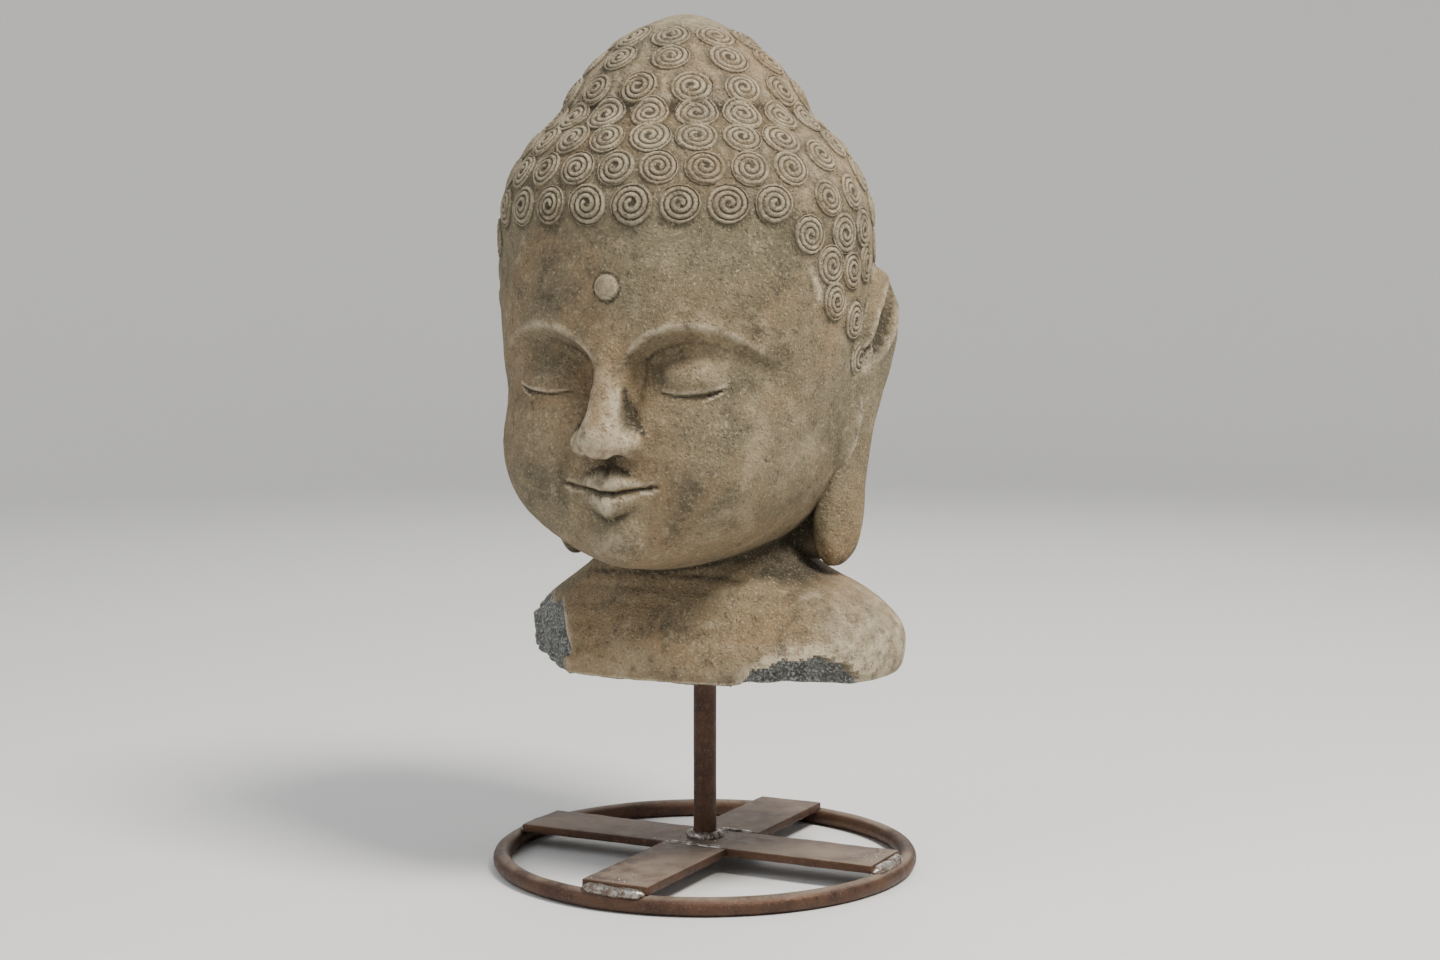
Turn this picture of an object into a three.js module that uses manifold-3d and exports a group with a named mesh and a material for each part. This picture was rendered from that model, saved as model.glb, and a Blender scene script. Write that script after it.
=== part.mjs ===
// A carved stone Buddha head on an iron stand. Millimetres, +Z up, the face looks along -Y.
// The head is one stone: a bare form given by smooth unions of simple volumes, read along rays
// from an axis inside it. The stand is a round ring, a cross of flat bars on it, and a post that
// goes up into a blind hole in the stone.
import * as THREE from 'three';
import { ConvexHull } from 'three/addons/math/ConvexHull.js';
import { mergeVertices } from 'three/addons/utils/BufferGeometryUtils.js';
import Module from 'manifold-3d';

// ---------------------------------------------------------------- driving dimensions
const CLEARANCE = 0.3;
const POST_Y = 11;            // the post stands this far behind the middle of the footprint

const RING_OUTER = 260;
const RING_BAR = 11;
const RING_STEPS = 56;
const RING_SIDES = 8;
const FLAT_WIDTH = 43;
const FLAT_THICK = 5;
const LONG_FLAT = { from: -117, to: 121, middle: -2 };
const SHORT_FLATS = { front: -124, back: 116, middle: 5 };
const POST_DIAMETER = 14;
const POST_IN_STONE = 70;

const BASE = 126;             // underside of the stone above the surface it all stands on
const HEAD_Y = -24;           // axis of the head, in front of the post
const NECK_Y = -8;
const HEAD_TURN = THREE.MathUtils.degToRad(3);     // the head looks a little to its left
const RAY_CENTRE = 320;
const NECK_TURN = 165;        // below this height the rays are level

const CHIN = 198;
const HAIR = 390;
const THIRD = (HAIR - CHIN) / 3;      // hairline to brow, brow to nose and nose to chin are equal
const BROW = HAIR - THIRD;
const NOSE = CHIN + THIRD;
const MOUTH = NOSE - THIRD / 3;
const EYE = BROW - 0.36 * THIRD;
const EYE_X = 41;
const EYE_HALF = 23.5;
const MARK = 354;             // round mark on the forehead

const CAP = { level: 388, width: 109, front: 107.5, back: 112, rise: 86 };
const KNOT = { level: 458, radius: 72, rise: 56, low: 420 };
const CURL_RADIUS = 12.2;
const CURL_HEIGHT = 3.2;
const CURL_APART = 20;        // nearest that two curls may come, and the same high on the cap
const CURL_APART_HIGH = 14;
// rows of curls as [height, how many go round, degrees from the face to one of them]
const CURL_ROWS = [[400, 25, 8], [420, 25, 1.4], [437, 22, -5], [450, 18, 8.5], [466, 14, 1],
  [484, 10, 15], [497, 9, 11], [378, 25, 1], [356.5, 25, 8], [335, 25, 1], [313.5, 25, 8],
  [292, 25, 1], [270.5, 25, 8], [249, 25, 1]];
// curls that follow the hair's edge down the temples, as [degrees from the face, height]
const TEMPLE_CURLS = [[63, 383], [72, 366], [74.5, 346], [72, 404], [79, 384], [84, 364],
  [76, 429], [86, 408], [92, 388], [96, 368]];
const EAR_TOP = 366;
const EAR_TIP = 188;
const EAR_FLARE = THREE.MathUtils.degToRad(15);

// outlines as [height, distance] pairs, joined by a smooth curve
const HALF_WIDTH = [[188, 2], [192, 27], [198, 46], [206, 60], [215, 71], [228, 82], [245, 91],
  [265, 98], [290, 103], [320, 106], [350, 108], [388, 109]];
const FRONT_DEPTH = [[188, 30], [192, 66], [198, 85], [206, 94], [215, 98], [228, 100],
  [245, 101.5], [265, 103], [290, 104.5], [320, 107], [345, 107.5]];
const BACK_DEPTH = [[188, 50], [215, 74], [240, 90], [265, 101], [290, 108], [320, 112], [350, 112]];
const BUST_LEFT = [[126, 125], [133, 129], [145, 130.5], [152, 129], [160, 124], [168, 115],
  [175, 102], [182, 85], [189, 71], [197, 62], [206, 57], [225, 57], [250, 60]];
const BUST_RIGHT = [[126, 125], [133, 129], [145, 126], [152, 115], [160, 101], [168, 91],
  [175, 82], [182, 72.5], [189, 63], [197, 56], [206, 53], [225, 54], [250, 60]];
const BUST_FRONT = [[126, 80], [135, 83], [147, 82], [160, 76], [175, 67], [188, 61.5],
  [200, 59.5], [250, 60]];
const BUST_BACK = [[126, 70], [140, 72], [155, 72], [170, 69], [190, 67], [210, 70], [250, 84]];
// lower edge of the hair as [degrees from the face, height]
const HAIR_EDGE = [[0, 389], [47, 389], [54, 381], [59, 370], [63, 357], [66, 342], [71, 333],
  [85, 325], [97, 290], [109, 248], [135, 240], [180, 238]];
const EAR_HALF = [[188, 17], [200, 19.5], [215, 19.5], [240, 16.5], [265, 17], [290, 23],
  [308, 28], [330, 25.5], [350, 20], [366, 15]];
const EAR_THICK = [[188, 11], [215, 11], [250, 9], [300, 9], [340, 10], [366, 8]];
const EAR_OUT = [[188, 86], [215, 88], [250, 92.5], [297, 100], [330, 105], [366, 105]];
const EAR_BACK = [[188, -1], [215, 0], [254, 2], [285, 3], [308, 2], [330, 7], [350, 12], [366, 14]];

// ---------------------------------------------------------------- small maths
const { clamp, degToRad, radToDeg, smoothstep, lerp } = THREE.MathUtils;
const smooth = (from, to, x) => smoothstep((x - from) / (to - from), 0, 1);
const bell = (x, width) => Math.exp(-((x / width) ** 2));

// smooth union of two distances, and smooth cut of b out of a
function join(a, b, k) {
  const h = Math.max(k - Math.abs(a - b), 0) / k;
  return Math.min(a, b) - h * h * k / 4;
}
const cut = (a, b, k) => -join(-a, b, k);

// smooth curve through [x, y] pairs without overshoot, flat beyond the ends
function curve(pairs) {
  const n = pairs.length - 1;
  const width = [];
  const rise = [];
  for (let i = 0; i < n; i++) {
    width.push(pairs[i + 1][0] - pairs[i][0]);
    rise.push((pairs[i + 1][1] - pairs[i][1]) / width[i]);
  }
  const slope = [rise[0]];
  for (let i = 1; i < n; i++) {
    const product = rise[i - 1] * rise[i];
    slope.push(product > 0 ? 2 * product / (rise[i - 1] + rise[i]) : 0);
  }
  slope.push(rise[n - 1]);
  return (x) => {
    const at = clamp(x, pairs[0][0], pairs[n][0]);
    let i = 0;
    while (i < n - 1 && at > pairs[i + 1][0]) i++;
    const t = (at - pairs[i][0]) / width[i];
    return (2 * t ** 3 - 3 * t ** 2 + 1) * pairs[i][1] + (t ** 3 - 2 * t ** 2 + t) * width[i] * slope[i]
      + (-2 * t ** 3 + 3 * t ** 2) * pairs[i + 1][1] + (t ** 3 - t ** 2) * width[i] * slope[i + 1];
  };
}

const halfWidth = curve(HALF_WIDTH);
const frontDepth = curve(FRONT_DEPTH);
const backDepth = curve(BACK_DEPTH);
const bustLeft = curve(BUST_LEFT);
const bustRight = curve(BUST_RIGHT);
const bustFront = curve(BUST_FRONT);
const bustBack = curve(BUST_BACK);
const hairEdge = curve(HAIR_EDGE);

// signed distances: an ellipsoid, and a rod whose radius changes from one end to the other
function ellipsoid([x, y, z], [cx, cy, cz], [rx, ry, rz]) {
  const [u, v, w] = [(x - cx) / rx, (y - cy) / ry, (z - cz) / rz];
  const near = Math.hypot(u, v, w) + 1e-9;
  return near * (near - 1) / (Math.hypot(u / rx, v / ry, w / rz) + 1e-9);
}
function rod([x, y, z], a, b, ra, rb) {
  const d = [b[0] - a[0], b[1] - a[1], b[2] - a[2]];
  const p = [x - a[0], y - a[1], z - a[2]];
  const along = (p[0] * d[0] + p[1] * d[1] + p[2] * d[2]) / (d[0] ** 2 + d[1] ** 2 + d[2] ** 2);
  const t = clamp(along, 0, 1);
  return Math.hypot(p[0] - d[0] * t, p[1] - d[1] * t, p[2] - d[2] * t) - lerp(ra, rb, t);
}

// ---------------------------------------------------------------- the head's form
// A squarish round section whose half width and depths follow the outlines, under a domed cap.
function skull(x, y, z) {
  if (z > CAP.level) {
    const depth = y < 0 ? CAP.front : CAP.back;
    return (Math.hypot(x / CAP.width, y / depth, (z - CAP.level) / CAP.rise) - 1) * 95;
  }
  const w = halfWidth(z);
  const d = y < 0 ? frontDepth(z) : backDepth(z);
  const power = 2.2 - 0.2 * smooth(345, CAP.level, z);
  const round = (Math.abs(x / w) ** power + Math.abs(y / d) ** power) ** (1 / power);
  return Math.max((round - 1) * Math.min(w, d), 188 - z);
}

// 0 on bare skin, rising to 1 a little way up into the hair.
function inHair(x, y, z) {
  const turn = radToDeg(Math.abs(Math.atan2(x, -y)));
  return smooth(-1, 12, z - hairEdge(turn));
}

const browHeight = (a) => BROW + 5 - 0.0125 * (a - 45) ** 2 + 0.00006 * Math.max(a - 45, 0) ** 3;

// The brow stands out as a ridge and the eye socket is pressed in below it.
function browAndSocket(a, z) {
  const below = browHeight(a) - z;
  const across = smooth(8, 19, a + 0.1 * clamp(below, 0, 60)) * (1 - smooth(74, 98, a));
  const deep = (14 - 8.5 * smooth(18, 66, a)) * smooth(-1, 8.5, below) * (1 - smooth(12, 54, below));
  const ridge = 1.7 * bell(below + 2.6, 3) * smooth(10, 24, a) * (1 - smooth(62, 88, a));
  return deep * across - ridge;
}

// A ball under two lids: the upper one hangs low, with a narrow slit between them.
function eye(p) {
  const q = clamp((p[0] - EYE_X) / EYE_HALF, -1.15, 1.15);
  const bow = 1 - q * q;
  const upper = EYE - 4.5 - 4.2 * bow;
  const lower = EYE - 4.5 - 8.6 * bow;
  const z = p[2];
  const ends = Math.abs(q);
  const slit = smooth(-0.7, 0.7, upper - z) * smooth(-0.9, 0.7, z - lower) * (1 - smooth(0.86, 1, ends));
  const lash = bell(z - upper - 1.3, 1.5) * (1 - smooth(0.95, 1.12, ends));
  const sill = bell(z - lower + 1.2, 1.5) * (1 - smooth(0.8, 1, ends));
  const ball = ellipsoid(p, [EYE_X, -76, EYE - 2.5], [26.5, 22, 18.5]);
  return ball + 2.4 * slit - 0.9 * lash - 0.9 * sill;
}

function nose(p) {
  const bridge = rod(p, [0, -97.5, BROW - 2], [0, -116, NOSE + 12], 8, 9.5);
  const tip = ellipsoid(p, [0, -113.5, NOSE + 7.5], [12.5, 14, 11]);
  const wing = ellipsoid(p, [13.6, -105, NOSE + 5.5], [8.4, 12.5, 8.2]);
  const nostril = ellipsoid(p, [8, -110.5, NOSE - 3.2], [4.2, 7, 4.2]);
  return cut(join(join(bridge, tip, 8), wing, 4.5), nostril, 2);
}

function lips(p) {
  const upper = rod(p, [5, -104.4, MOUTH + 4.4], [28, -95.5, MOUTH + 3.2], 6.6, 2.8);
  const bow = ellipsoid(p, [0, -105.6, MOUTH + 3], [8, 6, 5.4]);
  const lower = rod(p, [0, -103.4, MOUTH - 6.8], [21, -97, MOUTH - 3], 8.2, 4);
  return join(join(upper, bow, 4), lower, 1);
}

function mouthLine(a, z) {
  const seam = MOUTH + 0.0036 * a * a - 1.2 * bell(a, 8) + 0.3;
  const parting = 2 * bell(z - seam, 1.5) * (1 - smooth(24, 32, a));
  const groove = 0.9 * bell(a, 3.6) * smooth(MOUTH + 8, MOUTH + 11, z) * (1 - smooth(NOSE - 3, NOSE, z));
  return parting + groove;
}

// The knot of hair on the crown: a dome that narrows like a blunt cone.
function knot(x, y, z) {
  if (z < KNOT.low) return 1e3;
  const out = Math.hypot(x, y) / KNOT.radius;
  const up = Math.max(z - KNOT.level, 0) / KNOT.rise;
  return ((out ** 1.6 + up ** 1.27 + 1e-9) ** (1 / 1.4) - 1) * 42;
}

// Stone that carries the cheek into the ear, and the web from lobe to neck.
function earRoot(f, p) {
  const mound = ellipsoid(p, [90, 18, 292], [15, 20, 46]);
  const web = rod(p, [68, 36, 244], [77, 30, 199], 12, 8);
  return join(join(f, mound, 8), web, 8);
}

// The whole head about its own axis.
function head(x, y, z) {
  const a = Math.abs(x);
  const p = [a, y, z];
  const facing = smooth(20, 60, -y);
  const front = smooth(70, 85, -y);
  let f = skull(x, y - browAndSocket(a, z) * facing, z) - inHair(x, y, z);
  f = join(f, ellipsoid(p, [45, -62, 258], [36, 33, 36]), 28);
  f = join(f, ellipsoid(p, [0, -80, MOUTH + 3], [34, 21, 25]), 14);
  f = join(f, eye(p), 2.6);
  f = join(f, nose(p), 5);
  f = join(f, lips(p), 2.2) + mouthLine(a, z) * front;
  f = join(f, ellipsoid(p, [0, -83, CHIN + 15], [21, 20, 15]), 12);
  f = join(f, ellipsoid(p, [0, -107.5, MARK], [7.6, 4.2, 7.6]), 1.2);
  return join(earRoot(f, p), knot(x, y, z), 5);
}

// Neck and shoulders about the post, with three shallow lines round the throat.
function bust(x, y, z) {
  if (z > 255) return 1e3;
  const w = x < 0 ? bustRight(z) : bustLeft(z);
  const fromNeck = y - NECK_Y;
  const d = fromNeck < 0 ? bustFront(z) : bustBack(z);
  let lines = 0;
  for (const level of [187, 178.5, 170]) lines += 0.6 * bell(z - level + 0.0011 * x * x, 2.2);
  const throat = smooth(-20, 40, -y) * (1 - smooth(46, 66, Math.abs(x)));
  const round = (Math.abs(x / w) ** 2.3 + Math.abs(fromNeck / d) ** 2.3) ** (1 / 2.3);
  return (round - 1) * Math.min(w, d) + lines * throat;
}

// The broken right shoulder, a chip along the lower front edge and a worn left end.
function breaks(f, x, y, z) {
  const rough = 1.2 * Math.sin(0.31 * x + 0.22 * z) + 0.9 * Math.sin(0.43 * y - 0.37 * z);
  const shoulder = z < 215 ? -0.764 * x - 0.645 * y - 91.5 - rough : -1e3;
  const along = 0.895 * x + 0.446 * y;
  const out = 0.446 * x - 0.895 * y;
  const chip = Math.hypot((along - 54) / 36, (out - 96) / 15, (z - 124) / 22);
  const end = 0.74 * x - 0.05 * y - 0.67 * z - 10.5 + 0.5 * rough;
  const broken = cut(f, -shoulder, 1.2);
  return cut(cut(broken, (chip - 1) * 14 - 0.4 * rough, 1), -end, 6);
}

function stone(x, y, z) {
  const [cos, sin] = [Math.cos(HEAD_TURN), Math.sin(HEAD_TURN)];
  const forward = y - HEAD_Y;
  const turned = head(x * cos + forward * sin, forward * cos - x * sin, z);
  return join(turned, breaks(bust(x, y, z), x, y, z), 4);
}

// ---------------------------------------------------------------- rays over the surface
// A place on the stone is (turn, down): turn in radians from the face towards the left ear, down
// from 0 at the crown to 1 at the lower edge. Rays fan out from one centre as far as the jaw,
// then their start slides down the neck's axis while they come level.
const FAN = 0.72;
const SLIDE = 0.88;
const ABOVE_JAW = 0.695;
function lowestRay(turn) {
  const facing = 0.5 + 0.5 * Math.cos(Math.min(Math.abs(turn) * 1.1, Math.PI));
  return degToRad(lerp(-42, -62, facing));
}
function ray(turn, down) {
  const low = lowestRay(turn);
  const slide = clamp((down - FAN) / (SLIDE - FAN), 0, 1);
  const tilt = lerp(Math.PI / 2, low, clamp(down / FAN, 0, 1)) * (1 - slide);
  let height = RAY_CENTRE;
  if (down > FAN) {
    height = lerp(RAY_CENTRE + 64 * Math.tan(low), NECK_TURN, slide) - 64 * Math.tan(tilt);
  }
  if (down > SLIDE) height = lerp(NECK_TURN, BASE, (down - SLIDE) / (1 - SLIDE));
  const forward = clamp((height - NECK_TURN) / (RAY_CENTRE - NECK_TURN), 0, 1);
  const bearing = turn + HEAD_TURN;
  return {
    from: [0, lerp(NECK_Y, HEAD_Y, forward), height],
    to: [Math.cos(tilt) * Math.sin(bearing), -Math.cos(tilt) * Math.cos(bearing), Math.sin(tilt)],
  };
}
const along = ({ from, to }, s) => from.map((c, i) => c + to[i] * s);

// Outermost point of the stone on a ray: steps inward until inside, then halves the step.
function surface(line) {
  let outside = 200;
  let inside = 195;
  while (inside > 15 && stone(...along(line, inside)) > 0) {
    outside = inside;
    inside -= 5;
  }
  for (let i = 0; i < 14; i++) {
    const middle = (inside + outside) / 2;
    if (stone(...along(line, middle)) > 0) outside = middle;
    else inside = middle;
  }
  return (inside + outside) / 2;
}

// The place on the fan of rays at a turn whose surface point has the given height; it stays at
// the fan's edge where the stone turns under before that height.
function placeAt(turn, height) {
  let tilt = Math.atan2(height - RAY_CENTRE, 105);
  const low = lowestRay(turn);
  let down = 0;
  for (let i = 0; i < 6; i++) {
    down = FAN * (Math.PI / 2 - tilt) / (Math.PI / 2 - low);
    const reach = surface(ray(turn, clamp(down, 0, FAN))) * Math.cos(tilt);
    tilt = Math.max(Math.atan2(height - RAY_CENTRE, Math.max(reach, 1)), low);
  }
  return clamp(down, 0, FAN);
}

// ---------------------------------------------------------------- curls
// Radius of the hair at a height: the cap's, or the knot's above its foot.
function hairRadius(z) {
  if (z > KNOT.level) {
    return KNOT.radius * Math.max(1 - ((z - KNOT.level) / KNOT.rise) ** 1.27, 0) ** (1 / 1.6);
  }
  const up = Math.max((z - CAP.level) / CAP.rise, 0);
  return (CAP.width + 1) * Math.sqrt(1 - up * up);
}

// Every curl as { turn, height }: those on the temples first, then rows all round, leaving out
// any that would come too near another or hang over the hair's edge.
function curls() {
  const kept = [];
  const add = (degrees, height) => {
    const turn = degToRad(degrees > 180 ? degrees - 360 : degrees);
    const radius = hairRadius(height);
    const spot = new THREE.Vector3(radius * Math.sin(turn), -radius * Math.cos(turn), height);
    if (height < hairEdge(Math.abs(radToDeg(turn))) + 8) return;
    const apart = height > 445 ? CURL_APART_HIGH : CURL_APART;
    if (kept.some((other) => other.spot.distanceTo(spot) < apart)) return;
    kept.push({ turn, height, spot });
  };
  for (const [degrees, height] of TEMPLE_CURLS) {
    add(degrees, height);
    add(-degrees, height);
  }
  for (const [height, count, first] of CURL_ROWS) {
    for (let i = 0; i < count; i++) add(first + 360 * i / count, height);
  }
  return kept;
}

// ---------------------------------------------------------------- the stone's mesh
// Places are spread over a sphere, kept a least distance apart, joined by the sphere's convex
// hull, and then moved out along their rays to the stone.
const REACH_DOWN = 0.93;
const onSphere = (turn, down) => {
  const latitude = Math.PI * (0.5 - REACH_DOWN * down);
  return new THREE.Vector3(Math.cos(latitude) * Math.sin(turn), -Math.cos(latitude) * Math.cos(turn),
    Math.sin(latitude));
};
const MM = 0.0074;            // one millimetre of the head's surface on the sphere
const FACE_NET = 4.8;

function places() {
  const kept = [];
  const add = (turn, down, lift = 0, apart = 4) => {
    const spot = onSphere(turn, down);
    if (kept.some((other) => other.spot.distanceTo(spot) < apart * MM)) return;
    kept.push({ turn, down, lift, spot });
  };
  add(0, 0);
  for (let i = 0; i < 6; i++) add(i * Math.PI / 3, 0.035, 0, 3);
  addCurls(add);
  addFace(add);
  addBareSkin(add);
  addNeckAndBust(add);
  return kept;
}

function addCurls(add) {
  for (const { turn, height } of curls()) {
    const radius = hairRadius(height);
    const down = placeAt(turn, height);
    add(turn, down, CURL_HEIGHT, 3);
    for (let i = 0; i < 6; i++) {
      const angle = Math.PI * i / 3;
      const side = 0.72 * CURL_RADIUS * Math.cos(angle) / radius;
      const up = 0.72 * CURL_RADIUS * Math.sin(angle) * MM / (Math.PI * REACH_DOWN);
      add(turn + side, Math.max(down + up, 0.003), 0.8 * CURL_HEIGHT, 4.5);
    }
    for (const angle of [Math.PI / 2, -Math.PI / 2]) {
      const side = 1.12 * CURL_RADIUS * Math.cos(angle + 0.5) / radius;
      const up = 1.12 * CURL_RADIUS * Math.sin(angle + 0.5) * MM / (Math.PI * REACH_DOWN);
      add(turn + side, Math.max(down + up, 0.003), -0.6, 5);
    }
  }
}

// Lines along the brows, the lids and the parting of the lips, then a regular net over the face.
function addFace(add) {
  const at = (x, height, apart) => {
    const turn = Math.atan2(x, Math.sqrt(Math.max(104 ** 2 - x * x, 0)));
    const down = placeAt(turn, height);
    if (down > ABOVE_JAW) return;
    add(turn, down, 0, apart);
    if (x > 0.5) add(-turn, down, 0, apart);
  };
  for (let x = 22; x < 88; x += 6) {
    at(x, browHeight(x) + 3, 3.4);
    at(x, browHeight(x) - 5, 3.4);
  }
  for (let q = -1; q < 1.01; q += 0.25) {
    const bow = 1 - q * q;
    const x = EYE_X + EYE_HALF * q;
    at(x, EYE - 3 - 4.2 * bow, 2.4);
    at(x, EYE - 5 - 6.8 * bow, 1.6);
    at(x, EYE - 7 - 8.8 * bow, 2.2);
  }
  for (let x = 0; x < 33; x += 4.6) at(x, MOUTH + 0.0042 * x * x, 2.4);
  for (let i = 0; i < 8; i++) {
    at(8 * Math.cos(i * Math.PI / 4), MARK + 8 * Math.sin(i * Math.PI / 4), 2);
  }
  at(0, MARK, 2);
  for (let height = CHIN + 8; height < 352; height += FACE_NET) {
    for (let x = 0; x < 90; x += x < 9 * FACE_NET ? FACE_NET : 1.6 * FACE_NET) {
      at(x, height, 0.74 * FACE_NET);
    }
  }
}

function addBareSkin(add) {
  for (let height = CHIN + 2; height < HAIR; height += 9) {
    for (let degrees = 0; degrees <= 116; degrees += 5.5) {
      if (height > hairEdge(degrees) - 3) continue;
      const turn = degToRad(degrees);
      const down = placeAt(turn, height);
      if (down > ABOVE_JAW) continue;
      add(turn, down, 0, 6.8);
      add(-turn, down, 0, 6.8);
    }
  }
  for (let degrees = 0; degrees < 360; degrees += 4) {
    const turn = degToRad(degrees - 180);
    add(turn, placeAt(turn, hairEdge(Math.abs(degrees - 180)) - 2.2), 0, 4);
  }
}

function addNeckAndBust(add) {
  const rows = [0.705, 0.72, 0.735, 0.753, 0.775, 0.797, 0.819, 0.841, 0.863];
  for (const height of [162, 155, 148, 141, 134, 129.5, BASE]) {
    rows.push(SLIDE + (1 - SLIDE) * (NECK_TURN - height) / (NECK_TURN - BASE));
  }
  rows.forEach((down, row) => {
    const last = down > 0.999;
    const count = last || row < 4 ? 64 : 44;
    for (let i = 0; i < count; i++) {
      const turn = 2 * Math.PI * (i + (row > 3 ? row % 2 : 0) / 2) / count - Math.PI;
      add(turn, down, 0, last ? 1 : 1.8);
    }
  });
}

function stoneMesh() {
  const kept = places();
  const vertices = kept.map(({ turn, down, lift }) => {
    const line = ray(turn, down);
    return along(line, surface(line) + lift);
  });
  const spots = kept.map(({ spot }) => spot);
  spots.push(new THREE.Vector3(0, 0, -1));
  vertices.push([0, NECK_Y, BASE]);
  const order = new Map(spots.map((spot, i) => [spot, i]));
  const indices = [];
  for (const face of new ConvexHull().setFromPoints(spots).faces) {
    let edge = face.edge;
    do {
      indices.push(order.get(edge.head().point));
      edge = edge.next;
    } while (edge !== face.edge);
  }
  return meshOf(vertices, indices);
}

function meshOf(vertices, indices) {
  const geometry = new THREE.BufferGeometry();
  geometry.setAttribute('position', new THREE.Float32BufferAttribute(vertices.flat(), 3));
  geometry.setIndex(indices);
  return geometry;
}

// ---------------------------------------------------------------- ears
// Rounded sections carried down from the top of the ear to the tip of the lobe, with a rolled
// rim round the hollow of the upper ear.
function ear(mirror) {
  const [half, thick, out, back] = [EAR_HALF, EAR_THICK, EAR_OUT, EAR_BACK].map(curve);
  const around = 16;
  const rows = 20;
  const shape = (angle) => Math.sign(angle) * Math.abs(angle) ** 0.75;
  const vertices = [];
  const indices = [];
  for (let row = 0; row <= rows; row++) {
    const v = (1 - Math.cos(Math.PI * row / rows)) / 2;
    const z = lerp(EAR_TOP, EAR_TIP, v);
    const close = Math.sqrt(Math.max(1 - Math.abs(2 * v - 1) ** 7, 0));
    for (let i = 0; i < around; i++) {
      const angle = 2 * Math.PI * i / around;
      const across = half(z) * close * shape(Math.cos(angle));
      const side = Math.sin(angle);
      const away = 1 - ((across - 0.1 * (z - 326)) / 13.5) ** 2 - ((z - 326) / 26) ** 2;
      const hollow = side > 0.5 ? 7.5 * Math.max(away, 0) ** 0.8 : 0;
      const through = thick(z) * close * shape(side) - hollow;
      const x = mirror * (out(z) + through * Math.cos(EAR_FLARE) + across * Math.sin(EAR_FLARE));
      const y = back(z) - through * Math.sin(EAR_FLARE) + across * Math.cos(EAR_FLARE) - HEAD_Y;
      vertices.push([
        x * Math.cos(HEAD_TURN) - y * Math.sin(HEAD_TURN),
        y * Math.cos(HEAD_TURN) + x * Math.sin(HEAD_TURN) + HEAD_Y,
        z]);
    }
  }
  for (let row = 0; row < rows; row++) {
    for (let i = 0; i < around; i++) {
      const a = row * around + i;
      const b = row * around + (i + 1) % around;
      const quad = [a, b + around, a + around, a, b, b + around];
      indices.push(...(mirror > 0 ? quad : quad.reverse()));
    }
  }
  return meshOf(vertices, indices);
}

// ---------------------------------------------------------------- joining and cutting
const wasm = await Module();
wasm.setup();

function solid(geometry) {
  geometry.deleteAttribute('normal');
  geometry.deleteAttribute('uv');
  const merged = mergeVertices(geometry, 1e-3);
  const index = merged.index.array;
  const triangles = [];
  for (let i = 0; i < index.length; i += 3) {
    const [a, b, c] = [index[i], index[i + 1], index[i + 2]];
    if (a !== b && b !== c && c !== a) triangles.push(a, b, c);
  }
  return new wasm.Manifold(new wasm.Mesh({
    numProp: 3,
    vertProperties: new Float32Array(merged.attributes.position.array),
    triVerts: new Uint32Array(triangles),
  }));
}

function geometryOf(body) {
  const mesh = body.getMesh();
  const geometry = new THREE.BufferGeometry();
  geometry.setAttribute('position', new THREE.BufferAttribute(mesh.vertProperties, 3));
  geometry.setIndex(new THREE.BufferAttribute(mesh.triVerts, 1));
  geometry.computeVertexNormals();
  return geometry;
}

// A round bar standing on z = bottom.
function upright(radius, bottom, height, sides) {
  const geometry = new THREE.CylinderGeometry(radius, radius, height, sides);
  return geometry.rotateX(Math.PI / 2).translate(0, 0, bottom + height / 2);
}

function headGeometry() {
  const hole = upright(POST_DIAMETER / 2 + CLEARANCE, BASE - 5, POST_IN_STONE + 5 + CLEARANCE, 24);
  const whole = solid(stoneMesh()).add(solid(ear(1))).add(solid(ear(-1)));
  return geometryOf(whole.subtract(solid(hole)));
}

// ---------------------------------------------------------------- stand
// A ring bent from round bar; its section has flats at the bottom and the top.
function ringGeometry() {
  const corner = RING_BAR / 2 / Math.cos(Math.PI / RING_SIDES);
  const middle = (RING_OUTER - RING_BAR) / 2;
  const profile = [];
  for (let i = 0; i <= RING_SIDES; i++) {
    const angle = 2 * Math.PI * (i + 0.5) / RING_SIDES;
    profile.push(new THREE.Vector2(middle + corner * Math.cos(angle), RING_BAR / 2 + corner * Math.sin(angle)));
  }
  return new THREE.LatheGeometry(profile, RING_STEPS).rotateX(Math.PI / 2);
}

const FLAT_BOTTOM = RING_BAR + CLEARANCE;
function flatBar(fromX, toX, fromY, toY) {
  const geometry = new THREE.BoxGeometry(toX - fromX, toY - fromY, FLAT_THICK);
  return geometry.translate((fromX + toX) / 2, (fromY + toY) / 2, FLAT_BOTTOM + FLAT_THICK / 2);
}

function shortBar(fromY, toY) {
  const { middle } = SHORT_FLATS;
  return flatBar(middle - FLAT_WIDTH / 2, middle + FLAT_WIDTH / 2, fromY, toY);
}

function postGeometry() {
  const bottom = FLAT_BOTTOM + FLAT_THICK + CLEARANCE;
  return upright(POST_DIAMETER / 2, bottom, BASE + POST_IN_STONE - bottom, 24);
}

// ---------------------------------------------------------------- assembly
const stoneLook = new THREE.MeshStandardMaterial({ color: 0x8a7a62, roughness: 0.88, metalness: 0 });
const ironLook = new THREE.MeshStandardMaterial({ color: 0x3c2b26, roughness: 0.5, metalness: 0.6 });

function piece(name, geometry, look) {
  const mesh = new THREE.Mesh(geometry, look.clone());
  mesh.name = name;
  return mesh;
}

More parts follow.
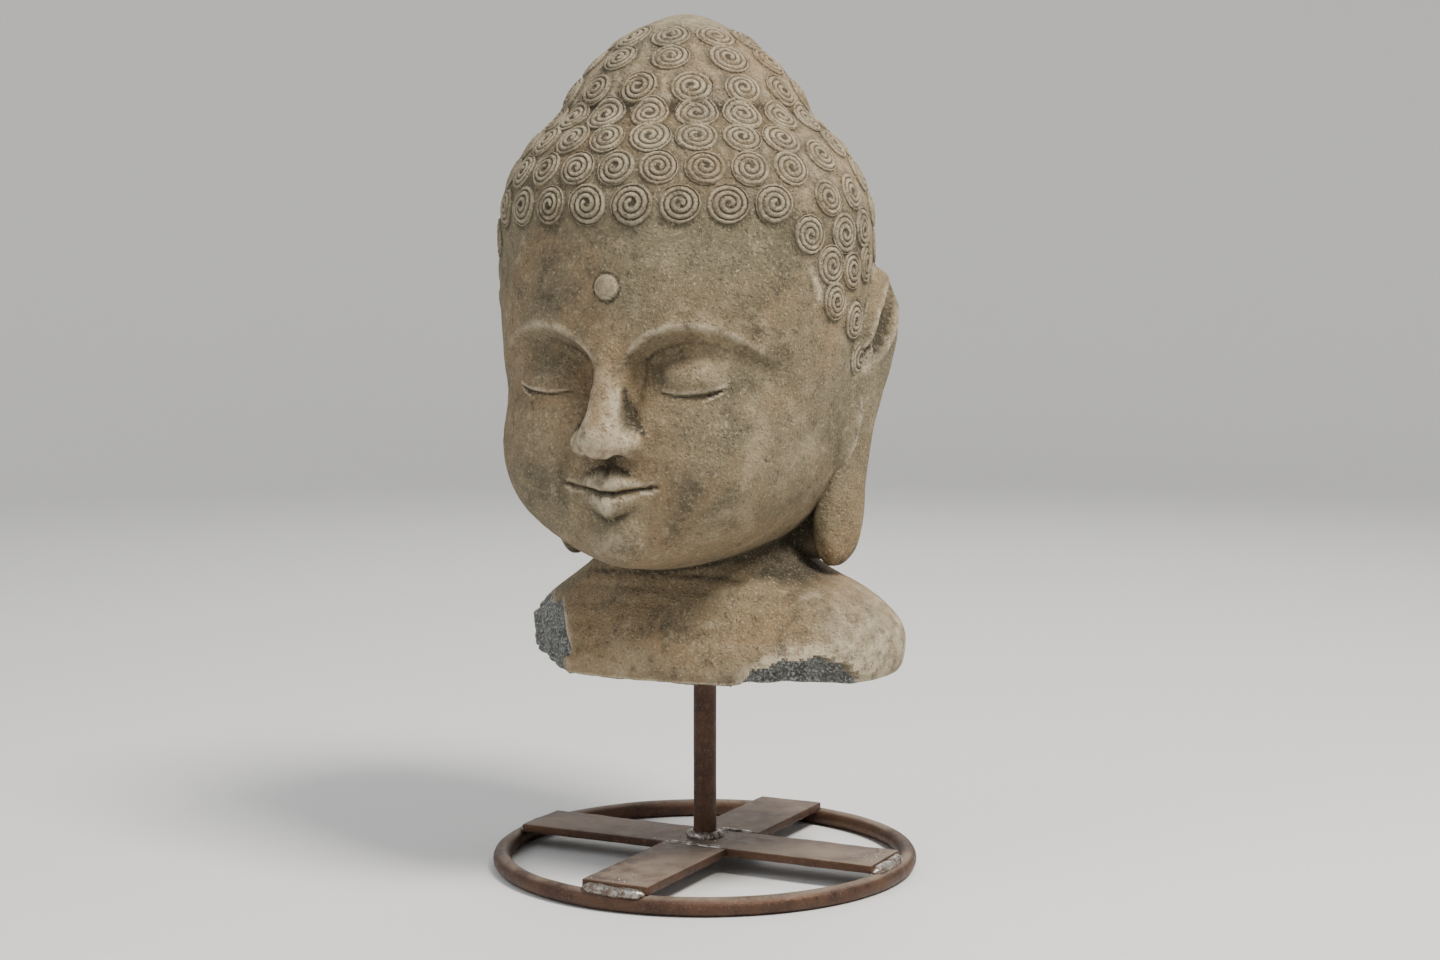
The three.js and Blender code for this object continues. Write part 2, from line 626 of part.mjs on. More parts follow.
const longSide = LONG_FLAT.middle + FLAT_WIDTH / 2;
const longFront = LONG_FLAT.middle - FLAT_WIDTH / 2;
const buddhaHead = new THREE.Group();
buddhaHead.add(
  piece('stone_head', headGeometry(), stoneLook),
  piece('stand_post', postGeometry(), ironLook),
  piece('foot_long_bar', flatBar(LONG_FLAT.from, LONG_FLAT.to, longFront, longSide), ironLook),
  piece('foot_short_bar_front', shortBar(SHORT_FLATS.front, longFront - CLEARANCE), ironLook),
  piece('foot_short_bar_back', shortBar(longSide + CLEARANCE, SHORT_FLATS.back), ironLook),
  piece('foot_ring', ringGeometry(), ironLook),
);
buddhaHead.position.y = POST_Y;

export default buddhaHead;
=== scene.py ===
"""Looks of a carved stone Buddha head on a welded iron stand, as a small Blender add-on.

Shapes are worked out in millimetres about the post's axis and placed in metres by metres().
"""

import math

import bpy
import numpy as np
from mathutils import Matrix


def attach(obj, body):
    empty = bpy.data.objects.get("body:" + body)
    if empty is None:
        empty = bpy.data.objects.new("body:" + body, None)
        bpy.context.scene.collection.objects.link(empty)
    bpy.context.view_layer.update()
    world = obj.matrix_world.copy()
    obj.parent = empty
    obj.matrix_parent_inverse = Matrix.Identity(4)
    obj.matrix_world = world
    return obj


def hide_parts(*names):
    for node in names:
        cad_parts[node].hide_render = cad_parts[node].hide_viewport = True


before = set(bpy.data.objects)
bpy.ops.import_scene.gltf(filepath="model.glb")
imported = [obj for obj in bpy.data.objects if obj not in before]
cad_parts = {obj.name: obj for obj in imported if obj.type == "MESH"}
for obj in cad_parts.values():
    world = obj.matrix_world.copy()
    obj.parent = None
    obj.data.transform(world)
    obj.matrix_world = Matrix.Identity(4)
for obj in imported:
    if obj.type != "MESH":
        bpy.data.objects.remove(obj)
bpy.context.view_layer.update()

bl_info = {
    "name": "Stone Buddha Head",
    "version": (1, 0, 0),
    "blender": (4, 5, 0),
    "location": "View3D > Sidebar > Buddha Head",
    "description": "A carved stone head with snail curls on a welded iron stand",
    "category": "Add Mesh",
}

POST_Y = 11.0
BASE = 126.0
POST_IN_STONE = 70.3
HOLE_RADIUS = 7.3
HEAD_Y = -24.0
NECK_Y = -8.0
HEAD_TURN = math.radians(3)
RAY_CENTRE = 320.0
NECK_TURN = 165.0

CHIN = 198.0
HAIR = 390.0
THIRD = (HAIR - CHIN) / 3
BROW = HAIR - THIRD
NOSE = CHIN + THIRD
MOUTH = NOSE - THIRD / 3
EYE = BROW - 0.36 * THIRD
EYE_X = 41.0
EYE_HALF = 23.5
MARK = 354.0

CAP_LEVEL, CAP_WIDTH, CAP_FRONT, CAP_BACK, CAP_RISE = 388.0, 109.0, 107.5, 112.0, 86.0
KNOT_LEVEL, KNOT_RADIUS, KNOT_RISE, KNOT_LOW = 458.0, 72.0, 56.0, 420.0
CURL_APART, CURL_APART_HIGH = 20.0, 14.0
CURL_ROWS = [(400, 25, 8), (420, 25, 1.4), (437, 22, -5), (450, 18, 8.5), (466, 14, 1), (484, 10, 15),
             (497, 9, 11), (378, 25, 1), (356.5, 25, 8), (335, 25, 1), (313.5, 25, 8), (292, 25, 1),
             (270.5, 25, 8), (249, 25, 1)]
TEMPLE_CURLS = [(63, 383), (72, 366), (74.5, 346), (72, 404), (79, 384), (84, 364), (76, 429),
                (86, 408), (92, 388), (96, 368)]
EAR_TOP, EAR_TIP, EAR_FLARE = 366.0, 188.0, math.radians(15)

HALF_WIDTH = [(188, 2), (192, 27), (198, 46), (206, 60), (215, 71), (228, 82), (245, 91),
              (265, 98), (290, 103), (320, 106), (350, 108), (388, 109)]
FRONT_DEPTH = [(188, 30), (192, 66), (198, 85), (206, 94), (215, 98), (228, 100), (245, 101.5),
               (265, 103), (290, 104.5), (320, 107), (345, 107.5)]
BACK_DEPTH = [(188, 50), (215, 74), (240, 90), (265, 101), (290, 108), (320, 112), (350, 112)]
BUST_LEFT = [(126, 125), (133, 129), (145, 130.5), (152, 129), (160, 124), (168, 115), (175, 102),
             (182, 85), (189, 71), (197, 62), (206, 57), (225, 57), (250, 60)]
BUST_RIGHT = [(126, 125), (133, 129), (145, 126), (152, 115), (160, 101), (168, 91), (175, 82),
              (182, 72.5), (189, 63), (197, 56), (206, 53), (225, 54), (250, 60)]
BUST_FRONT = [(126, 80), (135, 83), (147, 82), (160, 76), (175, 67), (188, 61.5), (200, 59.5),
              (250, 60)]
BUST_BACK = [(126, 70), (140, 72), (155, 72), (170, 69), (190, 67), (210, 70), (250, 84)]
HAIR_EDGE = [(0, 389), (47, 389), (54, 381), (59, 370), (63, 357), (66, 342), (71, 333), (85, 325),
             (97, 290), (109, 248), (135, 240), (180, 238)]
EAR_HALF = [(188, 17), (200, 19.5), (215, 19.5), (240, 16.5), (265, 17), (290, 23), (308, 28),
            (330, 25.5), (350, 20), (366, 15)]
EAR_THICK = [(188, 11), (215, 11), (250, 9), (285, 9), (310, 11), (340, 11), (366, 8)]
EAR_OUT = [(188, 86), (215, 88), (250, 92.5), (297, 100), (330, 105), (366, 105)]
EAR_BACK = [(188, -1), (215, 0), (254, 2), (285, 3), (308, 2), (330, 7), (350, 12), (366, 14)]

RING_OUTER, RING_BAR = 260.0, 11.0
FLAT_BOTTOM, FLAT_THICK, FLAT_WIDTH = 11.3, 5.0, 43.0
LONG_FROM, LONG_TO, LONG_MIDDLE = -117.0, 121.0, -2.0
SHORT_FRONT, SHORT_BACK, SHORT_MIDDLE = -124.0, 116.0, 5.0
POST_RADIUS, POST_BOTTOM = 7.0, 16.6


# ------------------------------------------------------------------ small maths
def smooth(start, end, x):
    """0 before start, 1 after end, an S-shaped ramp between them."""
    t = np.clip((x - start) / (end - start), 0, 1)
    return t * t * (3 - 2 * t)


def bell(x, width):
    """1 at zero, falling off on both sides like a bell of that width."""
    return np.exp(-((x / width) ** 2))


def join(a, b, k):
    """Smooth union of two distances over a width k."""
    h = np.maximum(k - np.abs(a - b), 0) / k
    return np.minimum(a, b) - h * h * k / 4


def cut(a, b, k):
    """Distance a with b taken away, smooth over a width k."""
    return -join(-a, b, k)


def lerp(a, b, t):
    """The value a fraction t of the way from a to b."""
    return a + (b - a) * t


def curve(pairs):
    """Smooth curve through (x, y) pairs that never overshoots, flat beyond the ends."""
    x, y = np.array(pairs, float).T
    width = np.diff(x)
    rise = np.diff(y) / width
    product = rise[:-1] * rise[1:]
    total = np.where(product > 0, rise[:-1] + rise[1:], 1.0)
    slope = np.concatenate([rise[:1], np.where(product > 0, 2 * product / total, 0), rise[-1:]])

    def value(at):
        at = np.clip(at, x[0], x[-1])
        i = np.clip(np.searchsorted(x, at) - 1, 0, len(width) - 1)
        t = (at - x[i]) / width[i]
        return ((2 * t**3 - 3 * t**2 + 1) * y[i] + (t**3 - 2 * t**2 + t) * width[i] * slope[i]
                + (3 * t**2 - 2 * t**3) * y[i + 1] + (t**3 - t**2) * width[i] * slope[i + 1])

    return value


half_width, front_depth, back_depth = curve(HALF_WIDTH), curve(FRONT_DEPTH), curve(BACK_DEPTH)
bust_left, bust_right = curve(BUST_LEFT), curve(BUST_RIGHT)
bust_front, bust_back = curve(BUST_FRONT), curve(BUST_BACK)
hair_edge = curve(HAIR_EDGE)
ear_half, ear_thick, ear_out, ear_back = (curve(c) for c in (EAR_HALF, EAR_THICK, EAR_OUT, EAR_BACK))


def ellipsoid(x, y, z, centre, radii):
    """Signed distance, near enough, to an ellipsoid with its axes along x, y and z."""
    u, v, w = (x - centre[0]) / radii[0], (y - centre[1]) / radii[1], (z - centre[2]) / radii[2]
    near = np.sqrt(u * u + v * v + w * w) + 1e-9
    slope = np.sqrt((u / radii[0]) ** 2 + (v / radii[1]) ** 2 + (w / radii[2]) ** 2) + 1e-9
    return near * (near - 1) / slope


def rod(x, y, z, start, end, start_radius, end_radius):
    """Signed distance to a rod from start to end whose radius changes evenly along it."""
    d = np.subtract(end, start)
    t = np.clip(((x - start[0]) * d[0] + (y - start[1]) * d[1] + (z - start[2]) * d[2]) / (d @ d), 0, 1)
    off = np.sqrt((x - start[0] - d[0] * t) ** 2 + (y - start[1] - d[1] * t) ** 2
                  + (z - start[2] - d[2] * t) ** 2)
    return off - lerp(start_radius, end_radius, t)


def lattice_noise(points, cell, seed):
    """Smooth noise from -1 to 1: random values on a lattice of that cell size, blended between
    the eight corners round each point."""
    table = np.random.default_rng(seed).uniform(-1, 1, (32, 32, 32))
    at = points / cell + 100.0
    corner = np.floor(at).astype(int)
    t = at - corner
    t = t * t * (3 - 2 * t)
    total = np.zeros(points.shape[:-1])
    for bits in range(8):
        step = np.array([bits & 1, bits >> 1 & 1, bits >> 2 & 1])
        i, j, k = np.moveaxis((corner + step) % 32, -1, 0)
        total += table[i, j, k] * np.prod(np.where(step, t, 1 - t), axis=-1)
    return total


# ------------------------------------------------------------------ the stone's form
def skull(x, y, z):
    """Squarish round section whose half width and depths follow the outlines, under a domed cap."""
    front = y < 0
    depth = np.where(front, CAP_FRONT, CAP_BACK)
    cap = np.sqrt((x / CAP_WIDTH) ** 2 + (y / depth) ** 2 + ((z - CAP_LEVEL) / CAP_RISE) ** 2)
    w = half_width(z)
    d = np.where(front, front_depth(z), back_depth(z))
    power = 2.2 - 0.2 * smooth(345, CAP_LEVEL, z)
    round_ = (np.abs(x / w) ** power + np.abs(y / d) ** power) ** (1 / power)
    below = np.maximum((round_ - 1) * np.minimum(w, d), 188 - z)
    return np.where(z > CAP_LEVEL, (cap - 1) * 95, below)


def knot(x, y, z):
    """The knot of hair on the crown: a dome that narrows like a blunt cone."""
    out = np.hypot(x, y) / KNOT_RADIUS
    up = np.maximum(z - KNOT_LEVEL, 0) / KNOT_RISE
    return np.where(z < KNOT_LOW, 1e3, ((out**1.6 + up**1.27 + 1e-9) ** (1 / 1.4) - 1) * 42)


def in_hair(x, y, z):
    """0 on bare skin, rising to 1 a little way up into the hair."""
    turn = np.degrees(np.abs(np.arctan2(x, -y)))
    return smooth(-1, 12, z - hair_edge(turn))


def hair_ground(x, y, z):
    """The smooth stone that the curls stand on."""
    return join(skull(x, y, z) - in_hair(x, y, z), knot(x, y, z), 5)


def brow_height(a):
    """Height of the brow's edge at a distance a from the middle of the face."""
    return BROW + 5 - 0.0125 * (a - 45) ** 2 + 0.00006 * np.maximum(a - 45, 0) ** 3


def brow_and_socket(a, z):
    """How far the face is pressed in below the brow, less the brow's ridge."""
    below = brow_height(a) - z
    across = smooth(8, 19, a + 0.1 * np.clip(below, 0, 60)) * (1 - smooth(74, 98, a))
    deep = (14 - 8.5 * smooth(18, 66, a)) * smooth(-1, 8.5, below) * (1 - smooth(12, 54, below))
    ridge = 1.7 * bell(below + 2.6, 3) * smooth(10, 24, a) * (1 - smooth(62, 88, a))
    return deep * across - ridge


def eye(a, y, z):
    """A ball under two lids: the upper one hangs low, with a narrow slit between them."""
    q = np.clip((a - EYE_X) / EYE_HALF, -1.15, 1.15)
    bow = 1 - q * q
    upper = EYE - 4.5 - 4.2 * bow
    lower = EYE - 4.5 - 8.6 * bow
    ends = np.abs(q)
    slit = smooth(-0.7, 0.7, upper - z) * smooth(-0.9, 0.7, z - lower) * (1 - smooth(0.86, 1, ends))
    lash = bell(z - upper - 1.3, 1.5) * (1 - smooth(0.95, 1.12, ends))
    sill = bell(z - lower + 1.2, 1.5) * (1 - smooth(0.8, 1, ends))
    ball = ellipsoid(a, y, z, (EYE_X, -76, EYE - 2.5), (26.5, 22, 18.5))
    return ball + 2.4 * slit - 0.9 * lash - 0.9 * sill


def nose(a, y, z):
    """A bridge that widens to a round tip, with wings and shallow nostrils."""
    bridge = rod(a, y, z, (0, -97.5, BROW - 2), (0, -116, NOSE + 12), 8, 9.5)
    tip = ellipsoid(a, y, z, (0, -113.5, NOSE + 7.5), (12.5, 14, 11))
    wing = ellipsoid(a, y, z, (13.6, -105, NOSE + 5.5), (8.4, 12.5, 8.2))
    nostril = ellipsoid(a, y, z, (8, -110.5, NOSE - 3.2), (4.2, 7, 4.2))
    return cut(join(join(bridge, tip, 8), wing, 4.5), nostril, 2)


def lips(a, y, z):
    """Two rods that thin out to the corners, with a bow on the upper lip."""
    upper = rod(a, y, z, (5, -104.4, MOUTH + 4.4), (28, -95.5, MOUTH + 3.2), 6.6, 2.8)
    bow = ellipsoid(a, y, z, (0, -105.6, MOUTH + 3), (8, 6, 5.4))
    lower = rod(a, y, z, (0, -103.4, MOUTH - 6.8), (21, -97, MOUTH - 3), 8.2, 4)
    return join(join(upper, bow, 4), lower, 1)


def mouth_line(a, z):
    """Depth of the parting of the lips and of the groove above them."""
    seam = MOUTH + 0.0036 * a * a - 1.2 * bell(a, 8) + 0.3
    parting = 2 * bell(z - seam, 1.5) * (1 - smooth(24, 32, a))
    groove = bell(a, 3.6) * smooth(MOUTH + 8, MOUTH + 11, z) * (1 - smooth(NOSE - 3, NOSE, z))
    return parting + 0.9 * groove


def face(x, y, z):
    """The head about its own axis, without the knot."""
    a = np.abs(x)
    f = skull(x, y - brow_and_socket(a, z) * smooth(20, 60, -y), z) - in_hair(x, y, z)
    f = join(f, ellipsoid(a, y, z, (45, -62, 258), (36, 33, 36)), 28)
    f = join(f, ellipsoid(a, y, z, (0, -80, MOUTH + 3), (34, 21, 25)), 14)
    f = join(f, eye(a, y, z), 2.6)
    f = join(f, nose(a, y, z), 5)
    f = join(f, lips(a, y, z), 2.2) + mouth_line(a, z) * smooth(70, 85, -y)
    f = join(f, ellipsoid(a, y, z, (0, -83, CHIN + 15), (21, 20, 15)), 12)
    return join(f, ellipsoid(a, y, z, (0, -107.5, MARK), (7.6, 4.2, 7.6)), 1.2)


def ear_flare(z):
    """How far the ear opens to the front at a height: more at the lobe than at the top."""
    return np.radians(lerp(15, 7, smooth(230, 310, z)))


def ear_face(u, z):
    """Thickness of the ear at a distance u behind the middle of its outer face."""
    v = np.clip((EAR_TOP - z) / (EAR_TOP - EAR_TIP), 0, 1)
    close = np.sqrt(np.maximum(1 - np.abs(2 * v - 1) ** 7, 0)) + 1e-6
    edge = np.clip(np.abs(u) / (ear_half(z) * close), 0, 1)
    return ear_thick(z) * close * (1 - edge ** (8 / 3)) ** 0.375


def ear_carving(u, z):
    """Depth of what is carved in the ear's outer face: a bowl in its upper part that leans back,
    a groove from it down to a notch at the front, and a rolled rim round the bowl."""
    bowl_u = (u - 1 - 0.42 * (z - 334)) / 9.5
    ring = np.sqrt(bowl_u**2 + ((z - 334) / 20) ** 2)
    bowl = 6.5 * np.maximum(1 - ring**2, 0) ** 0.7
    along = np.clip((332 - z) / 20, 0, 1)
    groove = 3.6 * bell(u + 6.5 + 12.5 * along, 2.8) * smooth(300, 311, z) * (1 - smooth(330, 344, z))
    notch = 6 * np.exp(-(((u + 20) / 4.5) ** 2) - ((z - 311) / 5.5) ** 2)
    rim = 1.5 * bell(ring - 1.42, 0.24) * smooth(306, 322, z)
    return bowl + groove + notch - rim


def ear_pocket(a, y, z):
    """Room for the ear's carved face: the space outside it, kept within the ear's outline."""
    flare = ear_flare(z)
    side, back = a - ear_out(z), y - ear_back(z) + HEAD_Y
    u = back * np.cos(flare) + side * np.sin(flare)
    outward = side * np.cos(flare) - back * np.sin(flare)
    bowl = np.sqrt(((u + 1 - 0.42 * (z - 334)) / 14) ** 2 + ((z - 334) / 24) ** 2)
    notch = np.sqrt(((u + 18) / 7) ** 2 + ((z - 314) / 10) ** 2)
    outline = (np.minimum(bowl, notch) - 1) * 8
    floor = ear_face(u, z) - ear_carving(u, z) - 1.5
    return np.maximum(outline, floor - outward)


def ear_root(f, x, y, z):
    """The form f with stone that carries the cheek into the ear, the web from lobe to neck, and
    room for the carved face of the ear."""
    a = np.abs(x)
    mound = ellipsoid(a, y, z, (90, 18, 292), (15, 20, 46))
    web = rod(a, y, z, (68, 36, 244), (77, 30, 199), 12, 8)
    pocket = np.where((a > 80) & (z > 285) & (z < 370), ear_pocket(a, y, z), 50)
    return cut(join(join(f, mound, 8), web, 8), pocket, 0.8)


def head(x, y, z):
    """The whole head about its own axis, facing straight ahead."""
    return join(ear_root(face(x, y, z), x, y, z), knot(x, y, z), 5)


def to_head(x, y):
    """Places about the post as places about the head's own axis, turned as the head is."""
    cos, sin = math.cos(HEAD_TURN), math.sin(HEAD_TURN)
    return x * cos + (y - HEAD_Y) * sin, (y - HEAD_Y) * cos - x * sin


def from_head(points):
    """Points about the head's own axis as points about the post."""
    cos, sin = math.cos(HEAD_TURN), math.sin(HEAD_TURN)
    x, y, z = np.moveaxis(points, -1, 0)
    return np.stack([x * cos - y * sin, y * cos + x * sin + HEAD_Y, z], -1)


def bust(x, y, z):
    """Neck and shoulders about the post, with three shallow lines round the throat."""
    w = np.where(x < 0, bust_right(z), bust_left(z))
    from_neck = y - NECK_Y
    d = np.where(from_neck < 0, bust_front(z), bust_back(z))
    lines = sum(0.6 * bell(z - level + 0.0011 * x * x, 2.2) for level in (187, 178.5, 170))
    throat = smooth(-20, 40, -y) * (1 - smooth(46, 66, np.abs(x)))
    round_ = (np.abs(x / w) ** 2.3 + np.abs(from_neck / d) ** 2.3) ** (1 / 2.3)
    body = (round_ - 1) * np.minimum(w, d) + lines * throat
    return np.where(z > 255, 1e3, body)


def break_planes(x, y, z):
    """Distances past the broken right shoulder, from the chip and past the worn left end."""
    rough = 1.2 * np.sin(0.31 * x + 0.22 * z) + 0.9 * np.sin(0.43 * y - 0.37 * z)
    shoulder = np.where(z < 215, -0.764 * x - 0.645 * y - 91.5 - rough, -1e3)
    along = 0.895 * x + 0.446 * y
    out = 0.446 * x - 0.895 * y
    chip = np.sqrt(((along - 54) / 36) ** 2 + ((out - 96) / 15) ** 2 + ((z - 124) / 22) ** 2)
    end = 0.74 * x - 0.05 * y - 0.67 * z - 10.5 + 0.5 * rough
    return shoulder, (chip - 1) * 14 - 0.4 * rough, end


def stone(x, y, z):
    """The one stone: head, and neck and shoulders with their breaks."""
    shoulder, chip, end = break_planes(x, y, z)
    broken = cut(cut(cut(bust(x, y, z), -shoulder, 1.2), chip, 1), -end, 6)
    return join(head(*to_head(x, y), z), broken, 4)


def in_parts(form, points):
    """The form's value at each point, worked out a part at a time to stay in fast memory."""
    flat = points.reshape(-1, 3)
    count = max(len(flat) // 16000, 1)
    return np.concatenate([form(*part.T) for part in np.array_split(flat, count)])


# ------------------------------------------------------------------ rays from inside the stone
FAN, SLIDE = 0.72, 0.88


def rays(turn, down):
    """Start and direction of the ray for each place: turn from the face to the left ear, down
    from 0 at the crown to 1 at the lower edge. They fan out from one centre as far as the jaw;
    then their start slides down the neck while they come level."""
    facing = 0.5 + 0.5 * np.cos(np.minimum(np.abs(turn) * 1.1, math.pi))
    low = np.radians(lerp(-42, -62, facing))
    slide = np.clip((down - FAN) / (SLIDE - FAN), 0, 1)
    tilt = lerp(math.pi / 2, low, np.clip(down / FAN, 0, 1)) * (1 - slide)
    sliding = lerp(RAY_CENTRE + 64 * np.tan(low), NECK_TURN, slide) - 64 * np.tan(tilt)
    height = np.where(down > FAN, sliding, RAY_CENTRE)
    height = np.where(down > SLIDE, lerp(NECK_TURN, BASE, (down - SLIDE) / (1 - SLIDE)), height)
    forward = np.clip((height - NECK_TURN) / (RAY_CENTRE - NECK_TURN), 0, 1)
    start = np.stack([0 * height, lerp(NECK_Y, HEAD_Y, forward), height], -1)
    turn = turn + HEAD_TURN
    toward = np.stack([np.cos(tilt) * np.sin(turn), -np.cos(tilt) * np.cos(turn), np.sin(tilt)], -1)
    return start, toward


def outermost(form, start, toward, far, step, halvings):
    """Distance along each ray to the outermost point of the form, by steps inward from far and
    then by halving the last step."""
    outside = far.copy()
    inside = far - step
    moving = np.arange(len(far))
    while len(moving):
        at = start[moving] + toward[moving] * inside[moving, None]
        moving = moving[(in_parts(form, at) > 0) & (inside[moving] > 15)]
        outside[moving] = inside[moving]
        inside[moving] -= step
    for _ in range(halvings):
        middle = (inside + outside) / 2
        empty = in_parts(form, start + toward * middle[:, None]) > 0
        outside = np.where(empty, middle, outside)
        inside = np.where(empty, inside, middle)
    return inside


def surface_grid(turns, downs):
    """Points of the stone on a grid of places, found on every fifth ray first and then on all."""
    coarse_t = np.append(turns[::5], turns[0] + 2 * math.pi)
    coarse_d = np.append(downs[:-1:5], downs[-1])
    t, d = np.meshgrid(coarse_t, coarse_d)
    start, toward = rays(np.ravel((t + math.pi) % (2 * math.pi) - math.pi), np.ravel(d))
    reach = outermost(stone, start, toward, np.full(t.size, 200.0), 5.0, 4).reshape(t.shape)
    for shift in ((1, 0), (-1, 0), (0, 1), (0, -1)):
        near = np.roll(reach, shift, (0, 1))
        if shift[0]:
            near[0 if shift[0] > 0 else -1] = 0
        reach = np.maximum(reach, near)
    column = np.interp(turns, coarse_t, np.arange(len(coarse_t)))
    row = np.interp(downs, coarse_d, np.arange(len(coarse_d)))
    i = np.minimum(row.astype(int), len(coarse_d) - 2)[:, None]
    j = np.minimum(column.astype(int), len(coarse_t) - 2)[None, :]
    far = np.maximum(np.maximum(reach[i, j], reach[i + 1, j]), np.maximum(reach[i, j + 1], reach[i + 1, j + 1]))
    t, d = np.meshgrid(turns, downs)
    start, toward = rays(t.ravel(), d.ravel())
    distance = outermost(stone, start, toward, far.ravel() + 4, 3.0, 9)
    return (start + toward * distance[:, None]).reshape(*t.shape, 3)


def spread(pairs, count, closed=False):
    """Places along a line, crowded where the density given by (place, density) pairs is high."""
    at = np.linspace(pairs[0][0], pairs[-1][0], 4001)
    density = np.interp(at, *np.array(pairs, float).T)
    total = np.concatenate([[0], np.cumsum((density[1:] + density[:-1]) / 2)])
    return np.interp(np.linspace(0, total[-1], count, endpoint=not closed), total, at)


# ------------------------------------------------------------------ grids and meshes
def grid_normals(grid):
    """Outward directions of a grid whose rows go down and whose columns turn to the left."""
    across = np.roll(grid, -1, 1) - np.roll(grid, 1, 1)
    downward = np.gradient(grid, axis=0)
    normal = np.cross(downward, across)
    return normal / (np.linalg.norm(normal, axis=-1, keepdims=True) + 1e-9)


def blurred(grid, times):
    """The grid averaged with its neighbours a number of times."""
    for _ in range(times):
        side = (np.roll(grid, 1, 1) + np.roll(grid, -1, 1)) / 2
        above = np.concatenate([grid[:1], grid[:-1]])
        below = np.concatenate([grid[1:], grid[-1:]])
        grid = grid / 2 + side / 4 + (above + below) / 8
    return grid


def hollows(grid, normals, near, far):
    """How hollow (positive) or proud (negative) each point of a grid is, in two sizes."""
    small = np.sum((blurred(grid, near) - grid) * normals, -1)
    large = np.sum((blurred(grid, far) - grid) * normals, -1)
    return small, large


def metres(points):
    """Millimetres about the post to metres in the row frame."""
    return (points + np.array([0, POST_Y, 0])) * 0.001


def mesh_object(name, points, quads, triangles, attributes=None, sharp=None):
    """A mesh object from points in millimetres, faces as rows of corner numbers, and values that
    its material reads at each point."""
    mesh = bpy.data.meshes.new(name)
    corners = np.concatenate([np.ravel(quads), np.ravel(triangles)]).astype(np.int32)
    sizes = np.repeat([4, 3], [len(quads), len(triangles)])
    mesh.vertices.add(len(points))
    mesh.vertices.foreach_set("co", metres(points).astype(np.float32).ravel())
    mesh.loops.add(len(corners))
    mesh.loops.foreach_set("vertex_index", corners)
    mesh.polygons.add(len(sizes))
    mesh.polygons.foreach_set("loop_start", (np.cumsum(sizes) - sizes).astype(np.int32))
    mesh.update(calc_edges=True)
    mesh.validate()
    mesh.polygons.foreach_set("use_smooth", np.ones(len(mesh.polygons), bool))
    if sharp:
        mesh.set_sharp_from_angle(angle=math.radians(sharp))
    for label, values in (attributes or {}).items():
        layer = mesh.attributes.new(label, "FLOAT", "POINT")
        layer.data.foreach_set("value", np.asarray(values, np.float32).ravel())
    made = bpy.data.objects.new(name, mesh)
    bpy.context.scene.collection.objects.link(made)
    return made


def sheet(name, grid, attributes=None, sharp=None, flip=False):
    """A closed skin over a grid whose columns go round and whose first and last rows shrink to
    one point each."""
    rows, columns = grid.shape[:2]

    def ends_joined(values):
        flat = values[1:-1].reshape(-1, *values.shape[2:])
        return np.concatenate([values[0, :1], flat, values[-1, :1]])

    index = 1 + np.arange((rows - 2) * columns).reshape(rows - 2, columns)
    right = np.roll(index, -1, 1)
    quads = np.stack([index[:-1], index[1:], right[1:], right[:-1]], -1).reshape(-1, 4)
    top = np.stack([np.zeros(columns, int), index[0], right[0]], -1)
    last = np.full(columns, (rows - 2) * columns + 1)
    triangles = np.concatenate([top, np.stack([index[-1], last, right[-1]], -1)])
    if flip:
        quads, triangles = quads[:, ::-1], triangles[:, ::-1]
    values = {label: ends_joined(v) for label, v in (attributes or {}).items()}
    return mesh_object(name, ends_joined(grid), quads, triangles, values, sharp)


# ------------------------------------------------------------------ curls
def hair_radius(z):
    """Radius of the hair at a height: the cap's, or the knot's above its foot."""
    up = np.clip((z - KNOT_LEVEL) / KNOT_RISE, 0, 1)
    over = np.clip((z - CAP_LEVEL) / CAP_RISE, 0, 1)
    cap = (CAP_WIDTH + 1) * np.sqrt(1 - over * over)
    return np.where(z > KNOT_LEVEL, KNOT_RADIUS * (1 - up**1.27) ** (1 / 1.6), cap)


def curl_places():
    """Turn and height of every curl: those on the temples first, then rows all round, leaving
    out any that would come too near another or hang over the hair's edge."""
    wanted = [(sign * degrees, z) for degrees, z in TEMPLE_CURLS for sign in (1, -1)]
    wanted += [(first + 360 * i / count, z) for z, count, first in CURL_ROWS for i in range(count)]
    kept, spots = [], np.zeros((0, 3))
    for degrees, z in wanted:
        degrees = (degrees + 180) % 360 - 180
        turn = math.radians(degrees)
        radius = hair_radius(z)
        spot = np.array([radius * math.sin(turn), -radius * math.cos(turn), z])
        apart = CURL_APART_HIGH if z > 445 else CURL_APART
        free = not len(spots) or np.linalg.norm(spots - spot, axis=1).min() > apart
        if free and z > hair_edge(abs(degrees)) + 8:
            kept.append((turn, z))
            spots = np.vstack([spots, spot])
    return np.array(kept)


def on_hair(turn, height):
    """Points of the hair's ground at those turns and heights about the head's axis."""
    toward = np.stack([np.sin(turn), -np.cos(turn), 0 * turn], -1)
    start = np.stack([0 * turn, 0 * turn, height], -1)
    reach = outermost(hair_ground, start, toward, np.full(len(turn), 160.0), 2.0, 12)
    return start + toward * reach[:, None]


def gradient(form, points, step=0.2):
    """Outward direction of a form at each point."""
    change = [in_parts(form, points + step * axis) - in_parts(form, points - step * axis) for axis in np.eye(3)]
    slope = np.stack(change, -1)
    return slope / (np.linalg.norm(slope, axis=-1, keepdims=True) + 1e-9)


STEPS_A_TURN = 16
TURNS = 3.5
ACROSS = np.array([0, 0.2, 0.5, 0.8, 1.0])


